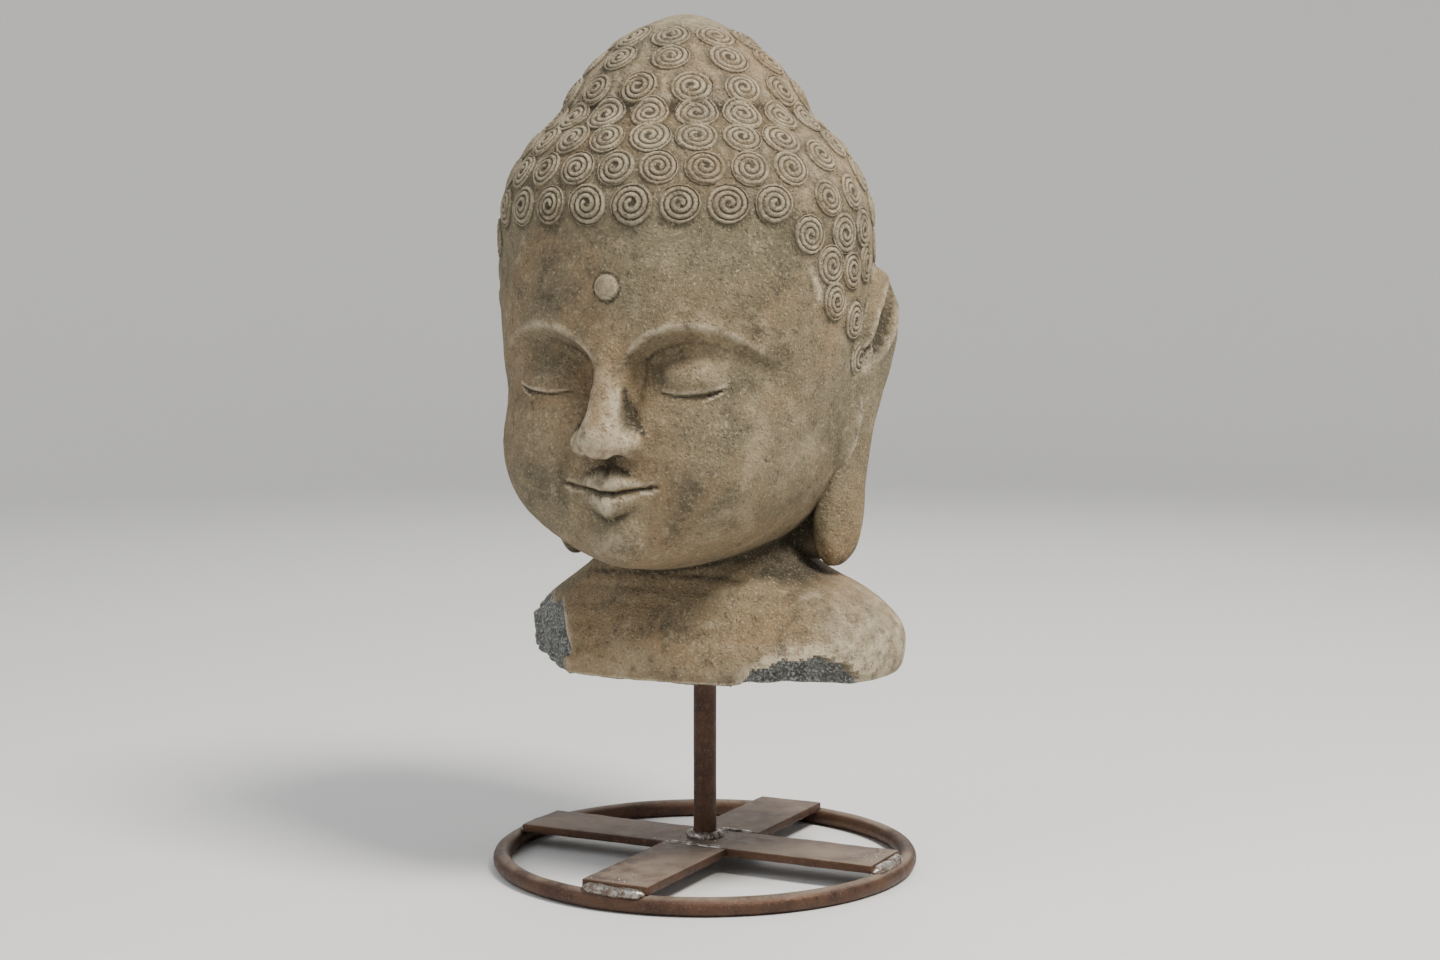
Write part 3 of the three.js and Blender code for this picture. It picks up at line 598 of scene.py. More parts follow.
def curl_pattern():
    """One snail curl as a flat pattern: a strip wound between a spiral groove and its next turn,
    as turns wound, fraction across the strip, and faces that share the groove's points."""
    last = round(STEPS_A_TURN * TURNS)
    wound, part = np.meshgrid(np.arange(last + 1), np.arange(len(ACROSS)), indexing="ij")
    number = np.arange(wound.size).reshape(wound.shape)
    shared = wound[:, -1] + STEPS_A_TURN <= last
    number[:-STEPS_A_TURN, -1][shared[:-STEPS_A_TURN]] = number[STEPS_A_TURN:, 0]
    number[last] = number[last, 0]
    quads = np.stack([number[:-1, :-1], number[:-1, 1:], number[1:, 1:], number[1:, :-1]], -1)
    quads = quads.reshape(-1, 4)
    first = np.arange(1, STEPS_A_TURN - 1)
    middle = np.stack([0 * first + number[0, 0], number[first, 0], number[first + 1, 0]], -1)
    turn_end = number[STEPS_A_TURN - 1, 0]
    closing = [(turn_end, number[0, j + 1], number[0, j]) for j in range(len(ACROSS) - 1)]
    rim = number[last - STEPS_A_TURN:last, -1]
    rim[0] = number[last, 0]
    skirt = number.size + np.arange(STEPS_A_TURN)
    centre = number.size + STEPS_A_TURN
    beyond = np.roll(np.arange(STEPS_A_TURN), -1)
    wall = np.stack([rim, skirt, skirt[beyond], rim[beyond]], -1)
    floor = np.stack([skirt, 0 * skirt + centre, skirt[beyond]], -1)
    faces = np.concatenate([quads, wall])
    three = np.concatenate([middle, closing, floor])
    used, back = np.unique(np.concatenate([faces.ravel(), three.ravel()]), return_inverse=True)
    faces = back[:faces.size].reshape(-1, 4)
    three = back[faces.size:].reshape(-1, 3)
    return wound.ravel() / STEPS_A_TURN, ACROSS[part.ravel()], used, faces, three


def curl_relief(tau, across, depth, dome):
    """Radius and height over the ground along one curl of radius 1: a low dome, a spiral groove
    between rounded ridges, and an outer edge that goes under the ground."""
    def groove_at(t):
        return np.minimum(t / TURNS, 1)

    def top(r):
        return dome * (1 - 0.45 * r**2.6)

    def edge(t):
        r = groove_at(t)
        in_groove = top(r) - depth * smooth(0.05, 0.9, t)
        return lerp(in_groove, -0.5, smooth(TURNS - 0.3, TURNS, t))

    radius = lerp(groove_at(tau), groove_at(tau + 1), across)
    ridge = np.sin(math.pi * across) ** 0.7
    low = lerp(edge(tau), edge(tau + 1), across)
    return radius, lerp(low, top(radius), ridge), 1 - ridge


def snail_curls(settings):
    """Every curl as its own closed shell laid on the hair's ground."""
    random = np.random.default_rng(11)
    places = curl_places()
    centres = on_hair(places[:, 0], places[:, 1])
    normals = gradient(hair_ground, centres)
    across = np.cross([0.0, 0.0, 1.0], -normals)
    across /= np.linalg.norm(across, axis=-1, keepdims=True)
    up = np.cross(normals, across)
    count = len(places)
    wear = 0.5 + 0.5 * lattice_noise(centres, 60, 5)
    radii = settings.curl_radius * 1000 * random.uniform(0.93, 1.03, count)
    phase = random.uniform(0, 2 * math.pi, count)
    wobble = random.uniform(0, 2 * math.pi, (count, 2))
    tau, part, used, quads, triangles = curl_pattern()
    depth = settings.groove_depth * 1000 * (1.1 - 0.5 * wear)
    shapes = []
    for i in range(count):
        radius, height, low = curl_relief(tau, part, depth[i], settings.curl_dome * 1000)
        turn = 2 * math.pi * tau
        skirt = 2 * math.pi * (np.arange(STEPS_A_TURN) / STEPS_A_TURN + TURNS)
        turn = np.concatenate([turn, skirt, [0]]) + phase[i]
        radius = np.concatenate([radius, np.full(STEPS_A_TURN, 0.8), [0]])
        height = np.concatenate([height, np.full(STEPS_A_TURN, -4.0), [-5.0]])
        low = np.concatenate([low, np.ones(STEPS_A_TURN + 1)])
        bend = 1 + 0.04 * np.sin(turn + wobble[i, 0]) + 0.03 * np.sin(2 * turn + wobble[i, 1])
        reach = radii[i] * radius * bend
        flat = centres[i] + np.outer(reach * np.cos(turn), across[i]) + np.outer(0.95 * reach * np.sin(turn), up[i])
        shapes.append((flat[used], height[used], low[used]))
    flat = np.concatenate([s[0] for s in shapes])
    height = np.concatenate([s[1] for s in shapes])
    low = np.concatenate([s[2] for s in shapes])
    outward = np.repeat(normals, len(used), 0)
    for _ in range(4):
        flat -= outward * np.clip(in_parts(hair_ground, flat), -6, 6)[:, None]
    points = from_head(flat + outward * height[:, None])
    outward = from_head(outward) - from_head(np.zeros(3))
    points += outward * (surface_noise(points, settings) + 0.16 * lattice_noise(points, 2.2, 7))[:, None]
    start = np.arange(count)[:, None, None] * len(used)
    quads = (quads[None] + start).reshape(-1, 4)
    triangles = (triangles[None] + start).reshape(-1, 3)
    worn = np.repeat(wear, len(used)) * (1 - low)
    # The spiral groove gets hollow values that the stone material darkens as dirt and painted shade; the ridge tops
    # are worn paler.
    values = {"hollow": low * 0.9, "proud": 0.35 + 0.65 * worn, "fresh": 0 * low}
    return mesh_object("snail_curls", points, quads, triangles, values)


# ------------------------------------------------------------------ stone pieces
def surface_noise(points, settings):
    """Unevenness of old worked stone, in millimetres, as noise of three sizes."""
    fine = 0.22 * lattice_noise(points, 4, 1) + 0.35 * lattice_noise(points, 14, 2)
    return settings.roughness * (fine + 0.6 * lattice_noise(points, 45, 3))


def carved_stone(settings):
    """The stone on a grid of rays, with its lower edge rounded off and a blind hole for the post."""
    density = [(-math.pi, 1), (-1.15, 1), (-0.9, 3.3), (0.9, 3.3), (1.15, 1), (math.pi, 1)]
    turns = spread(density, settings.columns, closed=True)
    density = [(0, 1.2), (0.26, 1.2), (0.28, 2.6), (0.7, 2.6), (0.74, 1.6), (1, 1.5)]
    downs = spread(density, settings.rows)
    downs[0] = 1e-4
    grid = surface_grid(turns, downs)
    over_base = np.clip((grid[..., 2] - BASE) / 1.6, 0, 1)
    inward = 1.6 * (1 - np.sqrt(1 - (1 - over_base) ** 2)) * (downs > SLIDE)[:, None]
    normals = grid_normals(grid)
    grid = grid - inward[..., None] * normals
    x, y, z = np.moveaxis(grid, -1, 0)
    end = break_planes(x, y, z)[2]
    whole = join(bust(x, y, z), head(*to_head(x, y), z), 4)
    fresh = smooth(0.2, 1.6, -whole) * smooth(1, 5, -end) * (z < 215)
    chisel = 1.0 * lattice_noise(grid, 7, 8) + 0.55 * lattice_noise(grid, 2.6, 9)
    small, large = hollows(grid, normals, 2, 40)
    # Hollow values: the stone material darkens these places as dirt and painted shade.
    hollow = np.maximum(smooth(0.02, 0.22, small), 0.75 * smooth(0.4, 3.2, large))
    # The ring beside each curl adds painted shade, with dirt, where the curls meet the hair's ground.
    hollow = np.maximum(hollow, beside_curls(grid))
    proud = np.maximum(smooth(0.03, 0.2, -small), 0.8 * smooth(0.2, 2.2, -large))
    lift = surface_noise(grid, settings) * (1 - fresh) + chisel * fresh * 0.8
    grid = grid + normals * lift[..., None]
    grid[..., 2] = np.maximum(grid[..., 2], BASE)
    grid[0] = grid[0].mean(0)
    angle = turns[None, :]
    hole = np.stack([HOLE_RADIUS * np.sin(angle), -HOLE_RADIUS * np.cos(angle), 0 * angle + BASE], -1)
    rim = grid[-1:]
    share = np.linspace(0.04, 0.96, 10)[:, None, None]
    under = rim * (1 - share) + hole * share
    under[..., 2] = BASE + 0.6 * np.abs(lattice_noise(under, 9, 12))
    top = hole + np.array([0, 0, POST_IN_STONE])
    centre = np.broadcast_to([0, 0, BASE + POST_IN_STONE], top.shape)
    grid = np.concatenate([grid, under, hole, top, centre])
    more = np.zeros((13, grid.shape[1]))
    values = {
        "hollow": np.concatenate([hollow, more + 0.4]),
        "proud": np.concatenate([proud, more]),
        "fresh": np.concatenate([fresh, more]),
    }
    return sheet("carved_stone", grid, values, sharp=50)


def beside_curls(grid):
    """1 on the ground beside a curl, dark there as dirt and painted shade where the curl meets the ground, falling
    off away from the curls.
    """
    places = curl_places()
    centres = from_head(on_hair(places[:, 0], places[:, 1]))
    found = np.zeros(grid.shape[:2])
    rows = np.nonzero(grid[..., 2].max(1) > 240)[0]
    for row in rows:
        away = np.linalg.norm(grid[row][:, None] - centres[None], axis=-1).min(1)
        found[row] = 0.45 * smooth(9, 12, away) * (1 - smooth(12.8, 15, away))
    return found


def ear_grid(rows, around):
    """Rounded sections from the top of the ear to the lobe's tip, carved on their outer side."""
    v = (1 - np.cos(math.pi * np.linspace(0, 1, rows))) / 2
    v = lerp(v, np.linspace(0, 1, rows), 0.6)
    z = lerp(EAR_TOP, EAR_TIP, v)[:, None]
    close = np.sqrt(np.maximum(1 - np.abs(2 * v - 1) ** 7, 0))[:, None]
    angle = 2 * math.pi * np.arange(around)[None, :] / around
    angle = angle - 0.32 * np.sin(2 * angle)
    u = ear_half(z) * close * np.sign(np.cos(angle)) * np.abs(np.cos(angle)) ** 0.75
    side = np.sin(angle)
    outward = ear_thick(z) * close * np.sign(side) * np.abs(side) ** 0.75
    outward = outward - ear_carving(u, z) * smooth(0.2, 0.55, side)
    flare = ear_flare(z)
    x = ear_out(z) + outward * np.cos(flare) + u * np.sin(flare)
    y = ear_back(z) - outward * np.sin(flare) + u * np.cos(flare) - HEAD_Y
    return np.stack([x, y, np.broadcast_to(z, x.shape)], -1)


def long_ears(settings):
    """Both long ears as closed skins, the right one a mirror image of the left."""
    made = []
    for name, sign in (("left_ear", 1), ("right_ear", -1)):
        grid = ear_grid(190, 96)[:, ::-1]
        normals = grid_normals(grid)
        small, large = hollows(grid, normals, 2, 16)
        grid = grid + normals * surface_noise(grid + sign * 40, settings)[..., None]
        grid = from_head(grid * np.array([sign, 1, 1]))
        # Hollow values darken the ear's bowl and grooves as dirt and painted shade in the stone material.
        values = {
            "hollow": np.maximum(smooth(0.02, 0.25, small), 0.8 * smooth(0.3, 2.4, large)),
            "proud": 0.8 * smooth(0.1, 1.6, -large),
            "fresh": np.zeros(grid.shape[:2]),
        }
        made.append(sheet(name, grid, values, flip=sign < 0))
    return made


# ------------------------------------------------------------------ iron pieces
def ring_of_bar():
    """A ring bent from round bar, a little uneven: a circle of bar sections."""
    turn, angle = np.meshgrid(np.linspace(0, 2 * math.pi, 220, endpoint=False),
                              np.linspace(0, 2 * math.pi, 24, endpoint=False), indexing="ij")
    middle = (RING_OUTER - RING_BAR) / 2
    about = np.stack([np.cos(turn), np.sin(turn), 0 * turn], -1)
    spot = about * middle
    bar = RING_BAR / 2 + 0.12 * lattice_noise(spot + 60 * np.stack([np.cos(angle), np.sin(angle), 0 * angle], -1), 18, 21)
    points = about * (middle + bar * np.cos(angle))[..., None]
    points[..., 2] = np.maximum(RING_BAR / 2 + bar * np.sin(angle), 0)
    index = np.arange(turn.size).reshape(turn.shape)
    ahead, beside = np.roll(index, -1, 0), np.roll(index, -1, 1)
    quads = np.stack([index, ahead, np.roll(ahead, -1, 1), beside], -1).reshape(-1, 4)
    return mesh_object("ring_of_bar", points.reshape(-1, 3), quads, np.zeros((0, 3), int))


def rounded_rectangle(width, height, radius, corner_steps=5, side_steps=9):
    """Points round a rectangle with rounded corners, anticlockwise from its right side."""
    points = []
    for sx, sy, start in ((1, -1, -90), (1, 1, 0), (-1, 1, 90), (-1, -1, 180)):
        for step in range(corner_steps):
            a = math.radians(start + 90 * step / (corner_steps - 1))
            points.append((sx * (width / 2 - radius) + radius * math.cos(a),
                           sy * (height / 2 - radius) + radius * math.sin(a)))
    ring = []
    for i, point in enumerate(points):
        ring.append(point)
        following = points[(i + 1) % len(points)]
        if math.dist(point, following) > width / 2:
            ring += [tuple(lerp(np.array(point), np.array(following), s / side_steps)) for s in range(1, side_steps)]
    return np.array(ring)


def flat_bar(name, start, end, seed):
    """A flat bar from start to end with eased edges: rectangles carried along a line, drawn in a
    little at both ends, all made slightly uneven."""
    start, end = np.array(start, float), np.array(end, float)
    length = np.linalg.norm(end - start)
    ahead = (end - start) / length
    side = np.array([-ahead[1], ahead[0], 0])
    ease = 0.9
    lead = [0, 0, 0.26 * ease, ease]
    stations = np.concatenate([lead, np.linspace(3, length - 3, 90), length - np.array(lead[::-1])])
    inset = np.array([ease, ease, 0.3 * ease, 0] + [0] * 90 + [0, 0.3 * ease, ease, ease])
    grid = []
    for i, (station, drawn) in enumerate(zip(stations, inset)):
        section = rounded_rectangle(FLAT_WIDTH - 2 * drawn, FLAT_THICK - 2 * drawn, ease)
        if i in (0, len(stations) - 1):
            section = section * 0
        grid.append(start + ahead * station + side * section[:, :1] + np.array([0, 0, 1]) * section[:, 1:])
    grid = np.array(grid)
    normals = grid_normals(grid)
    uneven = 0.14 * lattice_noise(grid, 17, seed) + 0.1 * lattice_noise(grid, 5, seed + 1)
    edge = smooth(18.5, 21, np.abs(np.sum((grid - start) * side, -1)))
    uneven -= edge * 0.5 * np.maximum(lattice_noise(grid, 6, seed + 2) - 0.35, 0)
    grid[1:-1] += (normals * uneven[..., None])[1:-1]
    return sheet(name, grid, sharp=55, flip=True)


def tube(name, path, radii, around=14, ripple=0.0, pitch=2.2, flatten=1.0, seed=0):
    """A bead along a path: round sections across it that swell and sink in ripples and shrink to
    a point at both ends."""
    path = np.array(path, float)
    ahead = np.gradient(path, axis=0)
    ahead /= np.linalg.norm(ahead, axis=-1, keepdims=True)
    side = np.cross(ahead, [0.0, 0.0, 1.0])
    side /= np.linalg.norm(side, axis=-1, keepdims=True) + 1e-9
    up = np.cross(side, ahead)
    walked = np.concatenate([[0], np.cumsum(np.linalg.norm(np.diff(path, axis=0), axis=-1))])
    angle = np.linspace(0, 2 * math.pi, around, endpoint=False)
    wave = 1 + ripple * np.abs(np.sin(math.pi * (walked[:, None] / pitch + 0.25 * np.cos(angle))))
    r = np.array(radii)[:, None] * wave
    grid = (path[:, None] + side[:, None] * (r * np.cos(angle))[..., None]
            + up[:, None] * (r * np.sin(angle) * flatten)[..., None])
    grid += 0.35 * grid_normals(grid) * lattice_noise(grid, 3, seed)[..., None]
    grid[0], grid[-1] = path[0], path[-1]
    return sheet(name, grid, flip=True)


def round_post():
    """The post: round sections on an upright line, with slight unevenness."""
    z = np.concatenate([[POST_BOTTOM], np.linspace(POST_BOTTOM, BASE + 70, 80), [BASE + 70]])
    angle = np.linspace(0, 2 * math.pi, 40, endpoint=False)
    radius = np.full(len(z), POST_RADIUS)
    radius[[0, -1]] = 0
    grid = np.stack(np.broadcast_arrays(radius[:, None] * np.sin(angle), -radius[:, None] * np.cos(angle), z[:, None]), -1)
    grid = grid[::-1].copy()
    grid[..., :2] *= 1 + 0.012 * lattice_noise(grid, 12, 31)[..., None]
    return sheet("round_post", grid, sharp=55)


def bead_path(points, steps=60):
    """Evenly numbered places along a line of corner points, rounded by averaging."""
    points = np.array(points, float)
    walked = np.concatenate([[0], np.cumsum(np.linalg.norm(np.diff(points, axis=0), axis=-1))])
    at = np.linspace(0, walked[-1], steps)
    path = np.stack([np.interp(at, walked, points[:, i]) for i in range(3)], -1)
    for _ in range(6):
        path[1:-1] = (path[:-2] + 2 * path[1:-1] + path[2:]) / 4
    return path


def taper(steps, ends=0.15):
    """1 along a bead and narrowing to almost nothing at both ends."""
    t = np.linspace(0, 1, steps)
    return np.sqrt(smooth(0, ends, t) * smooth(0, ends, 1 - t)) + 0.02


def weld_beads():
    """Beads where the post meets the cross, where the flats meet each other and the ring."""
    top = FLAT_BOTTOM + FLAT_THICK
    turn = np.radians(np.linspace(-150, 185, 70))
    foot = np.stack([8.2 * np.sin(turn), -8.2 * np.cos(turn), 0 * turn + top + 0.6], -1)
    front = LONG_MIDDLE - FLAT_WIDTH / 2
    back = LONG_MIDDLE + FLAT_WIDTH / 2
    left, right = SHORT_MIDDLE - FLAT_WIDTH / 2, SHORT_MIDDLE + FLAT_WIDTH / 2
    noise = np.random.default_rng(41)
    beads = [tube("post_weld", foot, 2.9 * taper(70) * noise.uniform(0.9, 1.1, 70), 16, 0.12, seed=42)]
    lines = [
        ("front_seam_weld", [(left, front, top), (right, front, top)], 1.5),
        ("back_seam_weld", [(left, back, top), (right, back, top)], 1.5),
        ("front_end_weld", [(left + 1, SHORT_FRONT - 1, 12.5), (SHORT_MIDDLE, SHORT_FRONT - 2.5, 11.5),
                            (right - 1, SHORT_FRONT - 1, 12)], 3.4),
        ("back_end_weld", [(left + 4, SHORT_BACK + 2, 12), (right - 4, SHORT_BACK + 2, 12)], 2.8),
        ("right_end_weld", [(LONG_TO + 0.5, front + 1, 12), (LONG_TO + 2.5, LONG_MIDDLE, 12.5),
                            (LONG_TO + 1, back - 2, 12.5)], 3.3),
        ("left_end_weld", [(LONG_FROM - 1.5, front + 3, 12), (LONG_FROM - 3.5, LONG_MIDDLE, 12),
                           (LONG_FROM - 1.5, back - 3, 12)], 2.8),
    ]
    for i, (name, points, radius) in enumerate(lines):
        path = bead_path(points)
        beads.append(tube(name, path, radius * taper(60), 14, 0.16, 2.4, 0.8, seed=50 + i))
    return beads


def weld_spatter():
    """Small drops of metal thrown round the welds: flattened balls scattered near each one."""
    random = np.random.default_rng(61)
    top = FLAT_BOTTOM + FLAT_THICK
    sources = [((0, 0), 14, 60), ((SHORT_MIDDLE, SHORT_FRONT + 6), 14, 40), ((LONG_TO - 6, LONG_MIDDLE), 12, 30)]
    spots = []
    for (x, y), reach, count in sources:
        turn, out = random.uniform(0, 2 * math.pi, count), np.abs(random.normal(0, reach, count))
        spots.append(np.stack([x + out * np.cos(turn), y + out * np.sin(turn)], -1))
    spots = np.concatenate(spots)
    on_long = (np.abs(spots[:, 1] - LONG_MIDDLE) < 20) & (spots[:, 0] > LONG_FROM + 1) & (spots[:, 0] < LONG_TO - 1)
    on_short = (np.abs(spots[:, 0] - SHORT_MIDDLE) < 20) & (spots[:, 1] > SHORT_FRONT + 1) & (spots[:, 1] < SHORT_BACK - 1)
    spots = spots[(on_long | on_short) & (np.hypot(*spots.T) > 9)]
    size = random.uniform(0.25, 0.8, len(spots))
    rows, around = 6, 8
    polar, turn = np.meshgrid(np.linspace(0, math.pi, rows), np.linspace(0, 2 * math.pi, around, endpoint=False), indexing="ij")
    ball = np.stack([np.sin(polar) * np.sin(turn), -np.sin(polar) * np.cos(turn), 0.7 * np.cos(polar)], -1)
    index = 1 + np.arange((rows - 2) * around).reshape(rows - 2, around)
    right = np.roll(index, -1, 1)
    quads = np.stack([index[:-1], index[1:], right[1:], right[:-1]], -1).reshape(-1, 4)
    last = (rows - 2) * around + 1
    ends = np.concatenate([np.stack([0 * index[0], index[0], right[0]], -1),
                           np.stack([index[-1], 0 * index[0] + last, right[-1]], -1)])
    shape = np.concatenate([ball[0, :1], ball[1:-1].reshape(-1, 3), ball[-1, :1]])
    centres = np.column_stack([spots, np.full(len(spots), top)])
    points = (centres[:, None] + shape[None] * size[:, None, None]).reshape(-1, 3)
    shift = (np.arange(len(spots)) * len(shape))[:, None, None]
    return mesh_object("weld_spatter", points, (quads + shift).reshape(-1, 4), (ends + shift).reshape(-1, 3))


# ------------------------------------------------------------------ materials
class Value:
    """A number in a material that can be added, multiplied and so on like a plain number."""

    def __init__(self, graph, socket):
        self.graph = graph
        self.socket = socket

    def _math(self, operation, *others):
        node = self.graph.node("ShaderNodeMath", {"operation": operation}, [self, *others])
        return Value(self.graph, node.outputs[0])

    def __add__(self, other):
        return self._math("ADD", other)

    __radd__ = __add__

    def __mul__(self, other):
        return self._math("MULTIPLY", other)

    __rmul__ = __mul__

    def __sub__(self, other):
        return self._math("SUBTRACT", other)

    def __rsub__(self, other):
        return (self * -1) + other

    def __truediv__(self, other):
        return self._math("DIVIDE", other)

    def __pow__(self, other):
        return self._math("POWER", other)

    def clamped(self):
        """The value kept between 0 and 1."""
        return self._math("MINIMUM", 1.0)._math("MAXIMUM", 0.0)

    def larger(self, other):
        """The larger of two values."""
        return self._math("MAXIMUM", other)


class Graph:
    """The node tree of one material, with a Principled surface."""

    def __init__(self, name):
        self.material = bpy.data.materials.new(name)
        self.material.use_nodes = True
        self.tree = self.material.node_tree
        self.surface = self.tree.nodes["Principled BSDF"]
        self.place = self.node("ShaderNodeTexCoord").outputs["Object"]

    def node(self, kind, settings=None, inputs=()):
        """A node of that kind: its settings first, then its inputs by place or by name."""
        made = self.tree.nodes.new(kind)
        for key, value in (settings or {}).items():
            setattr(made, key, value)
        pairs = inputs.items() if isinstance(inputs, dict) else enumerate(inputs)
        for key, value in pairs:
            self.feed(made.inputs[key], value)
        return made

    def feed(self, socket, value):
        """Sets a socket to a constant, or links it to a value or another socket."""
        if isinstance(value, Value):
            value = value.socket
        if isinstance(value, bpy.types.NodeSocket):
            self.tree.links.new(value, socket)
        else:
            socket.default_value = value

    def attribute(self, name):
        """The value kept at each point of the mesh under that name."""
        return Value(self, self.node("ShaderNodeAttribute", {"attribute_name": name}).outputs["Fac"])

    def noise(self, scale, detail=3.0, rough=0.55, warp=0.0, stretch=(1, 1, 1)):
        """Cloudy noise about 0.5, with its scale in cells a metre."""
        place = self.place
        if stretch != (1, 1, 1):
            place = self.node("ShaderNodeMapping", {}, {"Vector": place, "Scale": stretch}).outputs[0]
        inputs = {"Vector": place, "Scale": scale, "Detail": detail, "Roughness": rough, "Distortion": warp}
        return Value(self, self.node("ShaderNodeTexNoise", {}, inputs).outputs["Fac"])

    def cells(self, scale):
        """Distance to the nearest of many scattered points, in cells."""
        node = self.node("ShaderNodeTexVoronoi", {}, {"Vector": self.place, "Scale": scale})
        return Value(self, node.outputs["Distance"])

    def ramp(self, value, start, end):
        """0 below start and 1 above end, smooth between them."""
        node = self.node("ShaderNodeMapRange", {"interpolation_type": "SMOOTHSTEP"},
                         {"Value": value, "From Min": start, "From Max": end})
        return Value(self, node.outputs[0])

    def mix(self, share, first, second):
        """A colour that goes from first to second as share goes from 0 to 1."""
        node = self.node("ShaderNodeMix", {"data_type": "RGBA"})
        for socket, value in zip((node.inputs[0], node.inputs[6], node.inputs[7]), (share, first, second)):
            if isinstance(value, tuple):
                value = (*value, 1.0)
            self.feed(socket, value)
        return node.outputs[2]

    def bump(self, height, distance, strength=1.0):
        """Small relief, in metres, that only tilts the surface."""
        node = self.node("ShaderNodeBump", {}, {"Strength": strength, "Distance": distance, "Height": height})
        self.feed(self.surface.inputs["Normal"], node.outputs[0])


def stone_material():
    """Old tan sandstone: pale where it stands proud, dark in hollows as dirt and painted shade, grey where broken.
    """
    g = Graph("old_carved_stone")
    hollow, proud, fresh = (g.attribute(name) for name in ("hollow", "proud", "fresh"))
    patch = g.noise(9, 4, 0.6, 0.4)
    blotch = g.noise(30, 5, 0.66, 0.3)
    mottle = g.noise(110, 6, 0.72)
    grain = g.noise(620, 4, 0.75)
    speck = g.noise(1500, 2, 0.6)
    colour = g.mix(g.ramp(patch, 0.36, 0.62), (0.252, 0.172, 0.092), (0.178, 0.150, 0.092))
    colour = g.mix(g.ramp(blotch, 0.5, 0.72) * 0.75, colour, (0.33, 0.265, 0.165))
    colour = g.mix(g.ramp(blotch, 0.49, 0.3) * 0.85, colour, (0.085, 0.072, 0.046))
    colour = g.mix(g.ramp(mottle, 0.53, 0.7) * 0.6, colour, (0.40, 0.33, 0.215))
    colour = g.mix(g.ramp(mottle, 0.47, 0.3) * 0.75, colour, (0.062, 0.052, 0.034))
    light = (proud * (0.3 + g.ramp(mottle, 0.38, 0.62))).clamped()
    colour = g.mix(light * 0.85, colour, (0.56, 0.48, 0.34))
    # Hollows darkened towards near black: partly dirt, partly painted shade standing in for the shade that falls in
    # hollows.
    dirt_and_painted_shade = (hollow * (0.45 + g.ramp(mottle, 0.25, 0.6))).clamped()
    colour = g.mix(dirt_and_painted_shade * 0.9, colour, (0.04, 0.033, 0.022))
    colour = g.mix(g.ramp(grain, 0.55, 0.68) * 0.5, colour, (0.58, 0.50, 0.36))
    colour = g.mix(g.ramp(grain, 0.45, 0.32) * 0.65, colour, (0.035, 0.028, 0.018))
    broken = g.mix(g.ramp(mottle, 0.35, 0.65), (0.085, 0.088, 0.082), (0.17, 0.175, 0.165))
    broken = g.mix(g.ramp(grain, 0.52, 0.62) * 0.8, broken, (0.48, 0.48, 0.45))
    broken = g.mix(g.ramp(grain, 0.46, 0.36) * 0.8, broken, (0.03, 0.03, 0.03))
    edge = g.ramp(fresh + (mottle - 0.5) * 0.5, 0.4, 0.62)
    colour = g.mix(edge, colour, broken)
    g.feed(g.surface.inputs["Base Color"], colour)
    g.feed(g.surface.inputs["Roughness"], 0.74 + 0.2 * g.ramp(mottle, 0.3, 0.7) + 0.06 * hollow)
    g.surface.inputs["Specular IOR Level"].default_value = 0.32
    pits = g.ramp(g.cells(330), 0.1, 0.34)
    relief = mottle * 1.5 + grain * 0.8 + speck * 0.22 + pits * 0.45 + g.noise(240, 4, 0.65) * 0.9
    g.bump(relief, 0.0016, 1)
    return g.material


def iron_material():
    """Old rust-brown iron with a thin waxed skin, greyer and dusty on the faces that look up."""
    g = Graph("rusty_iron")
    patch = g.noise(26, 4, 0.6, 0.3)
    mottle = g.noise(150, 6, 0.66)
    grain = g.noise(900, 3, 0.6)
    facing = g.node("ShaderNodeSeparateXYZ", {}, [g.node("ShaderNodeNewGeometry").outputs["Normal"]])
    up = Value(g, facing.outputs["Z"])
    colour = g.mix(g.ramp(patch, 0.38, 0.64), (0.052, 0.026, 0.018), (0.092, 0.047, 0.028))
    colour = g.mix(g.ramp(mottle, 0.5, 0.72) * 0.6, colour, (0.15, 0.075, 0.04))
    colour = g.mix(g.ramp(mottle, 0.46, 0.3) * 0.6, colour, (0.024, 0.015, 0.012))
    dust = (g.ramp(up, 0.6, 0.95) * g.ramp(patch + mottle * 0.5, 0.5, 0.95)).clamped()
    colour = g.mix(dust * 0.75, colour, (0.235, 0.19, 0.15))
    colour = g.mix(g.ramp(grain, 0.58, 0.7) * 0.35, colour, (0.26, 0.2, 0.155))
    g.feed(g.surface.inputs["Base Color"], colour)
    g.feed(g.surface.inputs["Metallic"], 0.55 - 0.4 * dust)
    g.feed(g.surface.inputs["Roughness"], 0.42 + 0.22 * g.ramp(mottle, 0.3, 0.7) + 0.2 * dust)
    g.bump(mottle + grain * 0.35 + patch * 0.5, 0.0006, 0.8)
    return g.material


def weld_material():
    """Bright grey weld metal, browned in patches."""
    g = Graph("weld_metal")
    mottle = g.noise(180, 5, 0.65)
    grain = g.noise(700, 3, 0.6)
    colour = g.mix(g.ramp(mottle, 0.4, 0.62), (0.12, 0.085, 0.065), (0.42, 0.40, 0.37))
    colour = g.mix(g.ramp(grain, 0.56, 0.7) * 0.6, colour, (0.68, 0.66, 0.62))
    g.feed(g.surface.inputs["Base Color"], colour)
    g.feed(g.surface.inputs["Metallic"], 0.6 + 0.3 * g.ramp(mottle, 0.4, 0.62))
    g.feed(g.surface.inputs["Roughness"], 0.5 - 0.15 * g.ramp(mottle, 0.4, 0.62))
    g.bump(mottle + grain * 0.4, 0.0005, 0.8)
    return g.material


